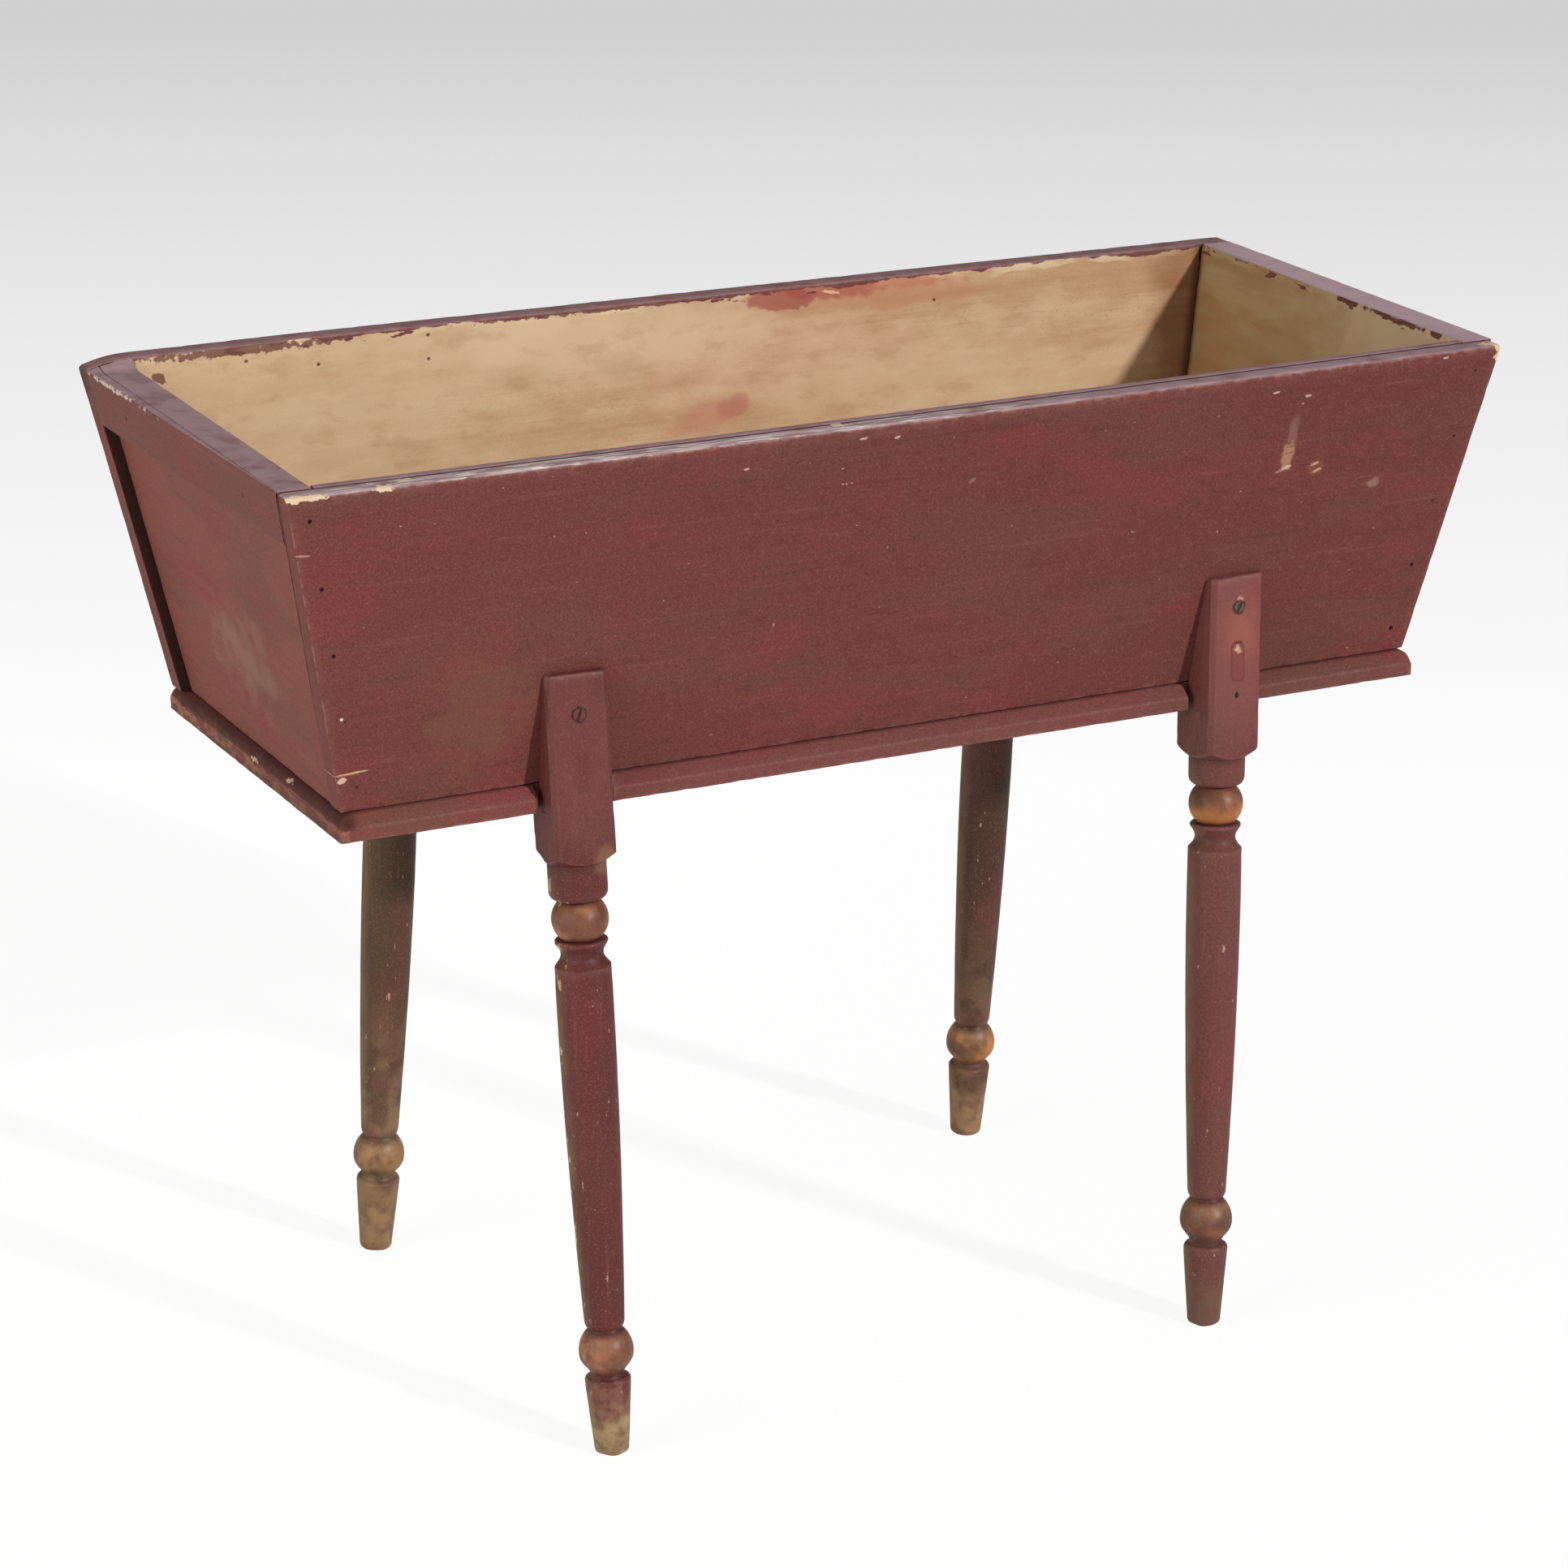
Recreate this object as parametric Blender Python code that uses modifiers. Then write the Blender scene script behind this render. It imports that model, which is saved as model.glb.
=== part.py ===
"""Dough box: a sloping open trough of nailed boards on four turned legs, the top of each leg cut to a
tongue that passes through a notch in the bottom board and is screwed to the trough.

Metres. +X runs along the trough to the right, +Y to the back, +Z up. The origin is on the floor under
the middle of the trough.
"""
import math

import bmesh
import bpy
from mathutils import Matrix, Vector

# Driving sizes of the trough
HEIGHT = 0.724
TROUGH_DEPTH = 0.2346
TOP_LENGTH = 0.947
TOP_WIDTH = 0.3914
BOTTOM_LENGTH = 0.849
BOTTOM_WIDTH = 0.315
BOARD_THICKNESS = 0.018
BOARD_EDGE = 0.0022
PANEL_THICKNESS = 0.0255

# The back board's upper edge stands higher between its ends: it rises from the left end, stays level a while
# and falls off to the right end
BACK_CROWN = 0.0060
CROWN_RISE_LENGTH = 0.050
CROWN_FALL_FROM = -0.300

# How far each end panel is set in from the ends of the long boards, at the front and at the back; the
# right one stands a little proud at the front
LEFT_SET_IN_FRONT = 0.0035
LEFT_SET_IN_BACK = 0.0090
RIGHT_SET_IN_FRONT = -0.0040
RIGHT_SET_IN_BACK = 0.0

# Rail over the top of the left end and strip inside the front rim
RAIL_HEIGHT = 0.0385
STRIP_THICKNESS = 0.008
STRIP_HEIGHT = 0.018
TRIM_EDGE = 0.0008

# Bottom board
FLOOR_THICKNESS = 0.0183
FLOOR_OVERHANG_SIDES = 0.011
FLOOR_OVERHANG_ENDS = 0.0040
FLOOR_LEFT_BACK_SHORT = 0.0045
FLOOR_TOP_ROUND = 0.009
FLOOR_CORNER_ROUND = 0.006
FLOOR_LOWER_ROUND = 0.0025
NOTCH_SIDE_GAP = 0.0055

# Legs: square blank, tongue and lean
LEG_SQUARE = 0.0455
LEG_CHAMFER = 0.0038
TONGUE_RISE = 0.1000
LEG_LEAN = 0.0831

# How far a leg's axis lies inside the long board's outer face at the middle of the tongue
LEG_AXIS_IN = 0.00297

# Where each leg stands: the side it is on, the place of its axis at the top of the tongue and at the floor
# as shares of the trough's bottom length, its turn about the axis in degrees, how much lower its upper
# turning and fixings lie and how much its foot is worn
LEG_PLACES = {
    "front_left": {"side": -1, "top": -0.3033, "foot": -0.2914, "turn": -4, "drop": 0.006, "worn": 0.002},
    "front_right": {"side": -1, "top": 0.3127, "foot": 0.2850, "turn": 4, "drop": 0, "worn": 0},
    "back_left": {"side": 1, "top": -0.2892, "foot": -0.3022, "turn": 0, "drop": 0, "worn": 0},
    "back_right": {"side": 1, "top": 0.3066, "foot": 0.3105, "turn": 0, "drop": 0, "worn": 0},
}

# Turning, from the block down to the shaft
BLOCK_LENGTH = 0.0379
SHOULDER_RISE = 0.0065
COLLAR_RADIUS = 0.0207
COLLAR_LENGTH = 0.0235
COLLAR_ROUND = 0.0040
UPPER_BALL_RADIUS = 0.0201
UPPER_BALL_HALF = 0.0132
RING_RADIUS = 0.0189
RING_HALF = 0.0027
COVE_RADIUS = 0.0150
COVE_LENGTH = 0.0094
SHAFT_SHOULDER = 0.0045
SHAFT_RADIUS = 0.0200
SHAFT_SWELL_BELOW_TOP = 0.0365
SHAFT_SWELL_POWER = 1.8

# Turning, from the floor up to the shaft
SHAFT_END_RADIUS = 0.0144
SHAFT_END_DROP = 0.0060
NECK_RADIUS = 0.0115
NECK_LENGTH = 0.0020
LOWER_BALL_RADIUS = 0.0195
LOWER_BALL_HALF = 0.0155
FOOT_LENGTH = 0.0629
FOOT_TOP_RADIUS = 0.0166
FOOT_TOP_ROUND = 0.0040
FOOT_TOP_DROP = 0.0050
FOOT_END_RADIUS = 0.0124
FOOT_END_ROUND = 0.0035
FOOT_BELOW_FLOOR = 0.004

# Leg screws and plugs
SCREW_BELOW_TOP = 0.0245
SCREW_HEAD_RADIUS = 0.0046
SCREW_HEAD_RIM = 0.0006
SCREW_HEAD_DEPTH = 0.0032
SCREW_SHANK_RADIUS = 0.0021
SCREW_LENGTH = 0.028
SCREW_TIP = 0.006
SCREW_SINK = 0.0004
SLOT_WIDTH = 0.0011
SLOT_DEPTH = 0.0011
SLOT_TURN = 25.0
PLUG_BELOW_TOP = 0.0660
PLUG_WIDTH = 0.012
PLUG_HEIGHT = 0.026
PLUG_DEPTH = 0.010
PLUG_SINK = 0.0002
PLUG_ROUND = 0.0048

# Nails
NAIL_HEAD_RADIUS = 0.0023
NAIL_HEAD_DEPTH = 0.0012
NAIL_SHANK_RADIUS = 0.0012
NAIL_TIP = 0.004
NAIL_SINK = 0.0003
SIDE_NAIL_LENGTH = 0.042
SIDE_NAIL_FIRST = 0.018
SIDE_NAIL_PITCH = 0.0495
SIDE_NAIL_COUNT = 5
SIDE_NAIL_SHARE = {-1: 0.52, 1: 0.80}
FLOOR_NAIL_LENGTH = 0.040
FLOOR_NAIL_SPREAD = BOTTOM_LENGTH * 0.40
FLOOR_NAIL_END_SPREAD = BOTTOM_WIDTH * 0.27
RAIL_NAIL_LENGTH = 0.022
RAIL_NAIL_SPREAD = TOP_WIDTH * 0.28
STRIP_NAIL_LENGTH = 0.016
STRIP_NAIL_SPREAD = TOP_LENGTH * 0.33

# Fit
CLEARANCE = 0.0003
CUTTER_REACH = 0.05
BLANK_RADIUS_SHARE = 0.75
LEG_CUT_SHARE = 2.0

# Mesh fineness: steps of the turnings and roundings, sweeps of the arcs in degrees
TURN_STEPS = 20
SCREW_STEPS = 14
NAIL_STEPS = 8
BALL_STEPS = 6
COVE_STEPS = 3
EDGE_STEPS = 2
SHAFT_STEPS = 6
FLOOR_EDGE_STEPS = 3
RING_SWEEP = 75
COVE_SWEEP = 60
EDGE_SWEEP = 80
FOOT_SWEEP = 60
BEVEL_ANGLE = 30
SMOOTH_ANGLE = 35
WELD = 0.00002

# Values worked out from the driving sizes
FLOOR_TOP = HEIGHT - TROUGH_DEPTH
FLOOR_UNDER = FLOOR_TOP - FLOOR_THICKNESS
SIDE_SLOPE = (TOP_WIDTH - BOTTOM_WIDTH) / 2 / TROUGH_DEPTH
END_SLOPE = (TOP_LENGTH - BOTTOM_LENGTH) / 2 / TROUGH_DEPTH
BOARD_ACROSS = BOARD_THICKNESS * math.hypot(1, SIDE_SLOPE)
STRIP_ACROSS = STRIP_THICKNESS * math.hypot(1, SIDE_SLOPE)
PANEL_ACROSS = PANEL_THICKNESS * math.hypot(1, END_SLOPE)
TONGUE_TOP = FLOOR_UNDER + TONGUE_RISE
TONGUE_MIDDLE = FLOOR_UNDER + TONGUE_RISE / 2
LEG_AXIS_OUT = BOTTOM_WIDTH / 2 + SIDE_SLOPE * (TONGUE_MIDDLE - FLOOR_TOP) - LEG_AXIS_IN
INNER_HALF_WIDTH = TOP_WIDTH / 2 - BOARD_ACROSS
RIGHT_PROUD = max(0, -RIGHT_SET_IN_FRONT, -RIGHT_SET_IN_BACK)


def remove_scene_objects():
    """Start from an empty scene."""
    for item in list(bpy.data.objects):
        bpy.data.objects.remove(item, do_unlink=True)


def add_collection(name):
    """A new collection under the scene's own."""
    group = bpy.data.collections.new(name)
    bpy.context.scene.collection.children.link(group)
    return group


# Every piece hangs from one empty, which brings the middle of the whole length over the origin
remove_scene_objects()
parts = add_collection("dough_box")
cutters = add_collection("dough_box_cutters")
frame = bpy.data.objects.new("dough_box_frame", None)
parts.objects.link(frame)
frame.location.x = -RIGHT_PROUD / 2


def add_solid(name, shape, group, place):
    """Turn a bmesh in its own axes into an object at its place, its faces turned outward."""
    bmesh.ops.recalc_face_normals(shape, faces=shape.faces)
    if shape.calc_volume(signed=True) < 0:
        bmesh.ops.reverse_faces(shape, faces=shape.faces)
    mesh = bpy.data.meshes.new(name)
    shape.to_mesh(mesh)
    shape.free()
    item = bpy.data.objects.new(name, mesh)
    group.objects.link(item)
    item.parent = frame
    item.matrix_basis = place
    if group == cutters:
        item.hide_render = True
        item.display_type = "WIRE"
    return item


def cube_shape(corner):
    """A cube whose corners are put where corner(x sign, y sign, z sign) says."""
    shape = bmesh.new()
    bmesh.ops.create_cube(shape, size=2)
    for vert in shape.verts:
        signs = [1 if value > 0 else -1 for value in vert.co]
        vert.co = corner(*signs)
    return shape


def add_block(name, shape, group):
    """A block whose corners are given in the trough's axes, placed by its own middle."""
    middle = sum((vert.co for vert in shape.verts), Vector()) / len(shape.verts)
    bmesh.ops.translate(shape, verts=shape.verts, vec=-middle)
    return add_solid(name, shape, group, Matrix.Translation(middle))


def upright_edges(shape):
    """The edges of a block that run from its bottom to its top."""
    return [edge for edge in shape.edges if abs(edge.verts[0].co.z - edge.verts[1].co.z) > WELD]


def add_bevel(item, width, segments, limit="ANGLE"):
    """Round the edges of a board."""
    bevel = item.modifiers.new("round", "BEVEL")
    bevel.width = width
    bevel.segments = segments
    bevel.limit_method = limit
    bevel.angle_limit = math.radians(BEVEL_ANGLE)
    return bevel


def add_cut(item, cutter, operation="DIFFERENCE"):
    """Cut one object with another."""
    cut = item.modifiers.new("cut", "BOOLEAN")
    cut.object = cutter
    cut.operation = operation
    cut.solver = "EXACT"
    return cut


def turned_shape(outline, steps):
    """Spin an outline of (radius, height), top to bottom from axis to axis, with a Screw modifier."""
    mesh = bpy.data.meshes.new("outline")
    corners = [(radius, 0, height) for radius, height in outline]
    edges = [(index, index + 1) for index in range(len(corners) - 1)]
    mesh.from_pydata(corners, edges, [])
    holder = bpy.data.objects.new("outline", mesh)
    cutters.objects.link(holder)
    screw = holder.modifiers.new("spin", "SCREW")
    screw.axis = "Z"
    screw.steps = steps
    screw.render_steps = steps
    screw.use_merge_vertices = True
    screw.merge_threshold = WELD
    graph = bpy.context.evaluated_depsgraph_get()
    spun = bpy.data.meshes.new_from_object(holder.evaluated_get(graph))
    shape = bmesh.new()
    shape.from_mesh(spun)
    bmesh.ops.remove_doubles(shape, verts=shape.verts, dist=WELD)
    bpy.data.objects.remove(holder, do_unlink=True)
    bpy.data.meshes.remove(spun)
    bpy.data.meshes.remove(mesh)
    return shape


def add_turned(name, outline, steps, group, place):
    """A turned piece along its own Z, shaded smooth."""
    item = add_solid(name, turned_shape(outline, steps), group, place)
    item.data.shade_smooth()
    item.data.set_sharp_from_angle(angle=math.radians(SMOOTH_ANGLE))
    return item


def side_y(z):
    """Outer face of a long board at height z, as a distance from the middle."""
    return BOTTOM_WIDTH / 2 + SIDE_SLOPE * (z - FLOOR_TOP)


def end_x(z):
    """End of the long boards at height z, as a distance from the middle."""
    return BOTTOM_LENGTH / 2 + END_SLOPE * (z - FLOOR_TOP)


def set_in(side, y):
    """How far the end panel's outer face lies inside the ends of the long boards at depth y."""
    front = LEFT_SET_IN_FRONT if side < 0 else RIGHT_SET_IN_FRONT
    back = LEFT_SET_IN_BACK if side < 0 else RIGHT_SET_IN_BACK
    return front + (back - front) * (y + INNER_HALF_WIDTH) / (2 * INNER_HALF_WIDTH)


def panel_x(side, y, z, inward):
    """X of the plane that lies the given distance inside the end panel's outer face."""
    return side * (end_x(z) - set_in(side, y) - inward)


# Long boards, nailed over the edges of the end panels
def long_board_shape(side):
    """Front or back board: six faces, top and bottom edges level, ends on the slope."""
    def corner(sx, sy, sz):
        z = HEIGHT if sz > 0 else FLOOR_TOP + CLEARANCE
        y = side * (side_y(z) - (0 if sy == side else BOARD_ACROSS))
        return Vector((sx * end_x(z), y, z))
    return cube_shape(corner)


def raise_crown(shape, side):
    """Raise the upper edge of a long board between its ends, along the slope of its faces."""
    reach = end_x(HEIGHT)
    for x in (CROWN_RISE_LENGTH - reach, CROWN_FALL_FROM):
        pieces = [*shape.verts, *shape.edges, *shape.faces]
        bmesh.ops.bisect_plane(shape, geom=pieces, plane_co=(x, 0, 0), plane_no=(1, 0, 0))
    for vert in shape.verts:
        if vert.co.z > HEIGHT - WELD:
            rise_share = (vert.co.x + reach) / CROWN_RISE_LENGTH
            fall_share = (reach - vert.co.x) / (reach - CROWN_FALL_FROM)
            rise = BACK_CROWN * max(0, min(1, rise_share, fall_share))
            vert.co += Vector((0, side * SIDE_SLOPE * rise, rise))


def add_long_board(name, shape):
    """A long board with its edges eased."""
    board = add_block(name, shape, parts)
    add_bevel(board, BOARD_EDGE, EDGE_STEPS)
    return board


back_shape = long_board_shape(1)
raise_crown(back_shape, 1)
long_boards = {
    -1: add_long_board("front_board", long_board_shape(-1)),
    1: add_long_board("back_board", back_shape),
}


# End panels between the long boards
def add_end_panel(name, side):
    """Left or right end: set between the long boards, leaning out like their ends."""
    def corner(sx, sy, sz):
        z = HEIGHT if sz > 0 else FLOOR_TOP + CLEARANCE
        y = sy * (side_y(z) - BOARD_ACROSS - CLEARANCE)
        inward = 0 if sx == side else PANEL_ACROSS
        return Vector((panel_x(side, y, z, inward), y, z))
    panel = add_block(name, cube_shape(corner), parts)
    add_bevel(panel, TRIM_EDGE, 1)
    return panel


end_panels = {-1: add_end_panel("left_end_panel", -1), 1: add_end_panel("right_end_panel", 1)}


# Tapered rail that fills the top of the left end out to the ends of the long boards
def rail_corner(sx, sy, sz):
    """Corner of the left rail: outer face on the ends of the long boards, inner on the panel."""
    z = HEIGHT if sz > 0 else HEIGHT - RAIL_HEIGHT
    y = sy * (side_y(z) - BOARD_ACROSS - CLEARANCE)
    x = -end_x(z) if sx < 0 else panel_x(-1, y, z, -CLEARANCE)
    return Vector((x, y, z))


left_end_rail = add_block("left_end_rail", cube_shape(rail_corner), parts)
add_bevel(left_end_rail, TRIM_EDGE, 1)


# Strip inside the front rim, between the end panels
def strip_corner(sx, sy, sz):
    """Corner of the front strip: against the front board's inner face."""
    z = HEIGHT if sz > 0 else HEIGHT - STRIP_HEIGHT
    behind = CLEARANCE + (STRIP_ACROSS if sy > 0 else 0)
    y = -(side_y(z) - BOARD_ACROSS - behind)
    x = panel_x(sx, y, z, PANEL_ACROSS + CLEARANCE)
    return Vector((x, y, z))


front_rim_strip = add_block("front_rim_strip", cube_shape(strip_corner), parts)
add_bevel(front_rim_strip, TRIM_EDGE, 1)


# Bottom board, with a rounded upper edge and a notch for each leg
def floor_corner(sx, sy, sz):
    """Corner of the bottom board; its left end is cut out of square."""
    x = sx * (BOTTOM_LENGTH / 2 + FLOOR_OVERHANG_ENDS)
    if sx < 0 and sy > 0:
        x += FLOOR_LEFT_BACK_SHORT
    y = sy * (BOTTOM_WIDTH / 2 + FLOOR_OVERHANG_SIDES)
    z = FLOOR_TOP if sz > 0 else FLOOR_UNDER
    return Vector((x, y, z))


def floor_board_shape():
    """The bottom board, each edge weighted by how far it is rounded."""
    shape = cube_shape(floor_corner)
    weights = shape.edges.layers.float.new("bevel_weight_edge")
    for edge in shape.edges:
        heights = [vert.co.z for vert in edge.verts]
        rounding = FLOOR_CORNER_ROUND
        if min(heights) > FLOOR_UNDER + WELD:
            rounding = FLOOR_TOP_ROUND
        elif max(heights) < FLOOR_TOP - WELD:
            rounding = FLOOR_LOWER_ROUND
        edge[weights] = rounding / FLOOR_TOP_ROUND
    return shape


bottom_board = add_block("bottom_board", floor_board_shape(), parts)
add_bevel(bottom_board, FLOOR_TOP_ROUND, FLOOR_EDGE_STEPS, limit="WEIGHT")


# Legs
def leg_axis_point(place, z):
    """Point of a leg's axis at height z."""
    share = place["foot"] + (place["top"] - place["foot"]) * z / TONGUE_TOP
    y = place["side"] * (LEG_AXIS_OUT + LEG_LEAN * (TONGUE_MIDDLE - z))
    return Vector((share * BOTTOM_LENGTH, y, z))


def leg_matrix(place):
    """Frame of a leg: Z up its axis from the floor, Y from its outer face towards the trough."""
    foot = leg_axis_point(place, 0)
    up = (leg_axis_point(place, TONGUE_TOP) - foot).normalized()
    inward = Vector((0, -place["side"], 0))
    inward = (inward - up * inward.dot(up)).normalized()
    across = inward.cross(up)
    axes = Matrix((across, inward, up)).transposed().to_4x4()
    return Matrix.Translation(foot) @ axes @ Matrix.Rotation(math.radians(place["turn"]), 4, "Z")


def along_axis(place):
    """Distance along a leg's axis for each unit of height."""
    axis = leg_axis_point(place, TONGUE_TOP) - leg_axis_point(place, 0)
    return axis.length / TONGUE_TOP


def shaft_radius(at, swell_at, shaft_end):
    """Radius of the shaft: a slow swell, then a taper to its lower end."""
    share = abs(swell_at - at) / (swell_at - shaft_end)
    return SHAFT_RADIUS - (SHAFT_RADIUS - SHAFT_END_RADIUS) * share ** SHAFT_SWELL_POWER


def arc(radius_at, height_at, radius, height, start, end, steps):
    """Points of an elliptical arc, as (radius, height), from one angle in degrees to another."""
    points = []
    for step in range(steps + 1):
        angle = math.radians(start + (end - start) * step / steps)
        points.append((radius_at + radius * math.cos(angle), height_at + height * math.sin(angle)))
    return points


def ball(height_at, radius, half):
    """Points of a ball cut off the given half height above and below its middle."""
    lean = math.degrees(math.asin(half / radius))
    return arc(0, height_at, radius, radius, lean, -lean, BALL_STEPS)


def upper_outline(place):
    """Outline from the top of the blank to the shaft's top edge, as (radius, distance up the axis)."""
    top = TONGUE_TOP * along_axis(place) + CUTTER_REACH
    blank = LEG_SQUARE * BLANK_RADIUS_SHARE
    corner_radius = math.hypot(LEG_SQUARE / 2, LEG_SQUARE / 2 - LEG_CHAMFER)
    outline = [(0, top), (blank, top)]

    # Lathe-cut shoulder under the square block, then the collar
    height = FLOOR_UNDER * along_axis(place) - BLOCK_LENGTH - place["drop"]
    rise = SHOULDER_RISE * (blank - COLLAR_RADIUS) / (corner_radius - COLLAR_RADIUS)
    outline += [(blank, height + rise), (COLLAR_RADIUS, height)]
    height -= COLLAR_LENGTH
    inside = COLLAR_RADIUS - COLLAR_ROUND
    outline += arc(inside, height + COLLAR_ROUND, COLLAR_ROUND, COLLAR_ROUND, 0, -90, EDGE_STEPS)

    # Upper ball, thin ring and cove
    height -= UPPER_BALL_HALF
    outline += ball(height, UPPER_BALL_RADIUS, UPPER_BALL_HALF)
    height -= UPPER_BALL_HALF + RING_HALF
    inside = RING_RADIUS - RING_HALF
    outline += arc(inside, height, RING_HALF, RING_HALF, RING_SWEEP, -RING_SWEEP, COVE_STEPS)
    height -= RING_HALF + COVE_LENGTH / 2
    outline += arc(inside, height, COVE_RADIUS - inside, COVE_LENGTH / 2, COVE_SWEEP, -COVE_SWEEP, COVE_STEPS)
    return outline, height - COVE_LENGTH / 2 - SHAFT_SHOULDER


def leg_outline(place):
    """Outline of the whole leg from the top of the blank to the foot."""
    outline, shaft_top = upper_outline(place)

    # Shaft
    foot_top = FOOT_LENGTH - place["worn"]
    neck_top = foot_top + LOWER_BALL_HALF * 2 + NECK_LENGTH
    shaft_end = neck_top + SHAFT_END_DROP
    swell_at = shaft_top - SHAFT_SWELL_BELOW_TOP
    inside = shaft_radius(shaft_top, swell_at, shaft_end) - SHAFT_SHOULDER
    outline += arc(inside, shaft_top, SHAFT_SHOULDER, SHAFT_SHOULDER, EDGE_SWEEP, 0, EDGE_STEPS)
    for step in range(1, SHAFT_STEPS):
        at = shaft_top + (shaft_end - shaft_top) * step / SHAFT_STEPS
        outline.append((shaft_radius(at, swell_at, shaft_end), at))
    fall = SHAFT_END_RADIUS - NECK_RADIUS
    outline += arc(NECK_RADIUS, shaft_end, fall, SHAFT_END_DROP, 0, -EDGE_SWEEP, EDGE_STEPS)

    # Lower ball and foot
    outline += ball(foot_top + LOWER_BALL_HALF, LOWER_BALL_RADIUS, LOWER_BALL_HALF)
    inside = FOOT_TOP_RADIUS - FOOT_TOP_ROUND
    outline += arc(inside, foot_top - FOOT_TOP_DROP, FOOT_TOP_ROUND, FOOT_TOP_DROP, EDGE_SWEEP, 0, EDGE_STEPS)
    inside = FOOT_END_RADIUS - FOOT_END_ROUND
    outline += arc(inside, FOOT_END_ROUND, FOOT_END_ROUND, FOOT_END_ROUND, 0, -FOOT_SWEEP, EDGE_STEPS)
    outline += [(inside, -FOOT_BELOW_FLOOR), (0, -FOOT_BELOW_FLOOR)]
    return outline


def add_blank(name, place):
    """Square blank with chamfered edges, which the turning is cut from."""
    half = LEG_SQUARE / 2
    top = TONGUE_TOP * along_axis(place) + CUTTER_REACH * 2

    def corner(sx, sy, sz):
        return Vector((sx * half, sy * half, top if sz > 0 else -CUTTER_REACH))
    shape = cube_shape(corner)
    bmesh.ops.bevel(shape, geom=upright_edges(shape), offset=LEG_CHAMFER, segments=1, affect="EDGES")
    return add_solid(name, shape, cutters, leg_matrix(place))


def add_trough_room(name, place):
    """Room for the trough behind the tongue and over the shoulder."""
    side = place["side"]
    middle = leg_axis_point(place, FLOOR_UNDER).x

    def corner(sx, sy, sz):
        z = TONGUE_TOP + CUTTER_REACH * 3 if sz > 0 else FLOOR_UNDER - CLEARANCE
        y = side * (side_y(z) + CLEARANCE) if sy == side else -side * CUTTER_REACH
        return Vector((middle + sx * LEG_SQUARE * LEG_CUT_SHARE, y, z))
    return add_block(name, cube_shape(corner), cutters)


def add_level_cut(name, place, low, high):
    """A level slab across a leg."""
    middle = leg_axis_point(place, (low + high) / 2)
    reach = LEG_SQUARE * LEG_CUT_SHARE

    def corner(sx, sy, sz):
        return Vector((middle.x + sx * reach, middle.y + sy * reach, high if sz > 0 else low))
    return add_block(name, cube_shape(corner), cutters)


def add_leg(name, place):
    """One leg: turned below, square block and tongue above, cut level at both ends."""
    leg = add_turned(name + "_leg", leg_outline(place), TURN_STEPS, parts, leg_matrix(place))
    add_cut(leg, add_blank(name + "_blank", place), "INTERSECT")
    add_cut(leg, add_trough_room(name + "_trough_room", place))
    add_cut(leg, add_level_cut(name + "_top_cut", place, TONGUE_TOP, TONGUE_TOP + CUTTER_REACH * 3))
    add_cut(leg, add_level_cut(name + "_floor_cut", place, -CUTTER_REACH, 0))
    return leg


def add_notch(name, place):
    """Notch in the bottom board that a leg passes through."""
    side = place["side"]
    middle = leg_axis_point(place, FLOOR_UNDER).x

    def corner(sx, sy, sz):
        z = FLOOR_TOP + CUTTER_REACH if sz > 0 else FLOOR_UNDER - CUTTER_REACH
        y = side * (side_y(z) if sy != side else BOTTOM_WIDTH / 2 + CUTTER_REACH * 2)
        return Vector((middle + sx * (LEG_SQUARE / 2 + NOTCH_SIDE_GAP), y, z))
    return add_block(name, cube_shape(corner), cutters)


# Screws and nails
def screw_outline(allowance):
    """Countersunk wood screw, head up, its top at height 0; the allowance makes the hole for it."""
    top = CUTTER_REACH if allowance else 0
    return [
        (0, top),
        (SCREW_HEAD_RADIUS + allowance, top),
        (SCREW_HEAD_RADIUS + allowance, -SCREW_HEAD_RIM),
        (SCREW_SHANK_RADIUS + allowance, -SCREW_HEAD_DEPTH),
        (SCREW_SHANK_RADIUS + allowance, SCREW_TIP - SCREW_LENGTH - allowance),
        (0, -SCREW_LENGTH - allowance),
    ]


def nail_outline(length, allowance):
    """Flat-headed nail, head up, its top at height 0; the allowance makes the hole for it."""
    top = CUTTER_REACH if allowance else 0
    return [
        (0, top),
        (NAIL_HEAD_RADIUS + allowance, top),
        (NAIL_HEAD_RADIUS + allowance, -NAIL_HEAD_DEPTH - allowance),
        (NAIL_SHANK_RADIUS + allowance, -NAIL_HEAD_DEPTH - allowance),
        (NAIL_SHANK_RADIUS + allowance, NAIL_TIP - length - allowance),
        (0, -length - allowance),
    ]


def pin_matrix(head, direction, sink):
    """Frame of a nail or screw: its head sunk under the face, its point towards the direction."""
    inward = Vector(direction).normalized()
    turn = (-inward).to_track_quat("Z", "Y").to_matrix().to_4x4()
    return Matrix.Translation(Vector(head) + inward * sink) @ turn


def tongue_pin(place, below_top, sink):
    """Frame of what is let into the middle of a tongue's outer face, so far below its top."""
    matrix = leg_matrix(place)
    height = (TONGUE_TOP - below_top - place["drop"]) * along_axis(place)
    head = matrix @ Vector((0, -LEG_SQUARE / 2, height))
    return pin_matrix(head, matrix.to_3x3() @ Vector((0, 1, 0)), sink)


def slot_corner(sx, sy, sz):
    """Corner of the cutter for a screw's slot."""
    height = CUTTER_REACH if sz > 0 else -SLOT_DEPTH
    return Vector((sx * SLOT_WIDTH / 2, sy * SCREW_HEAD_RADIUS * 2, height))


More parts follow.
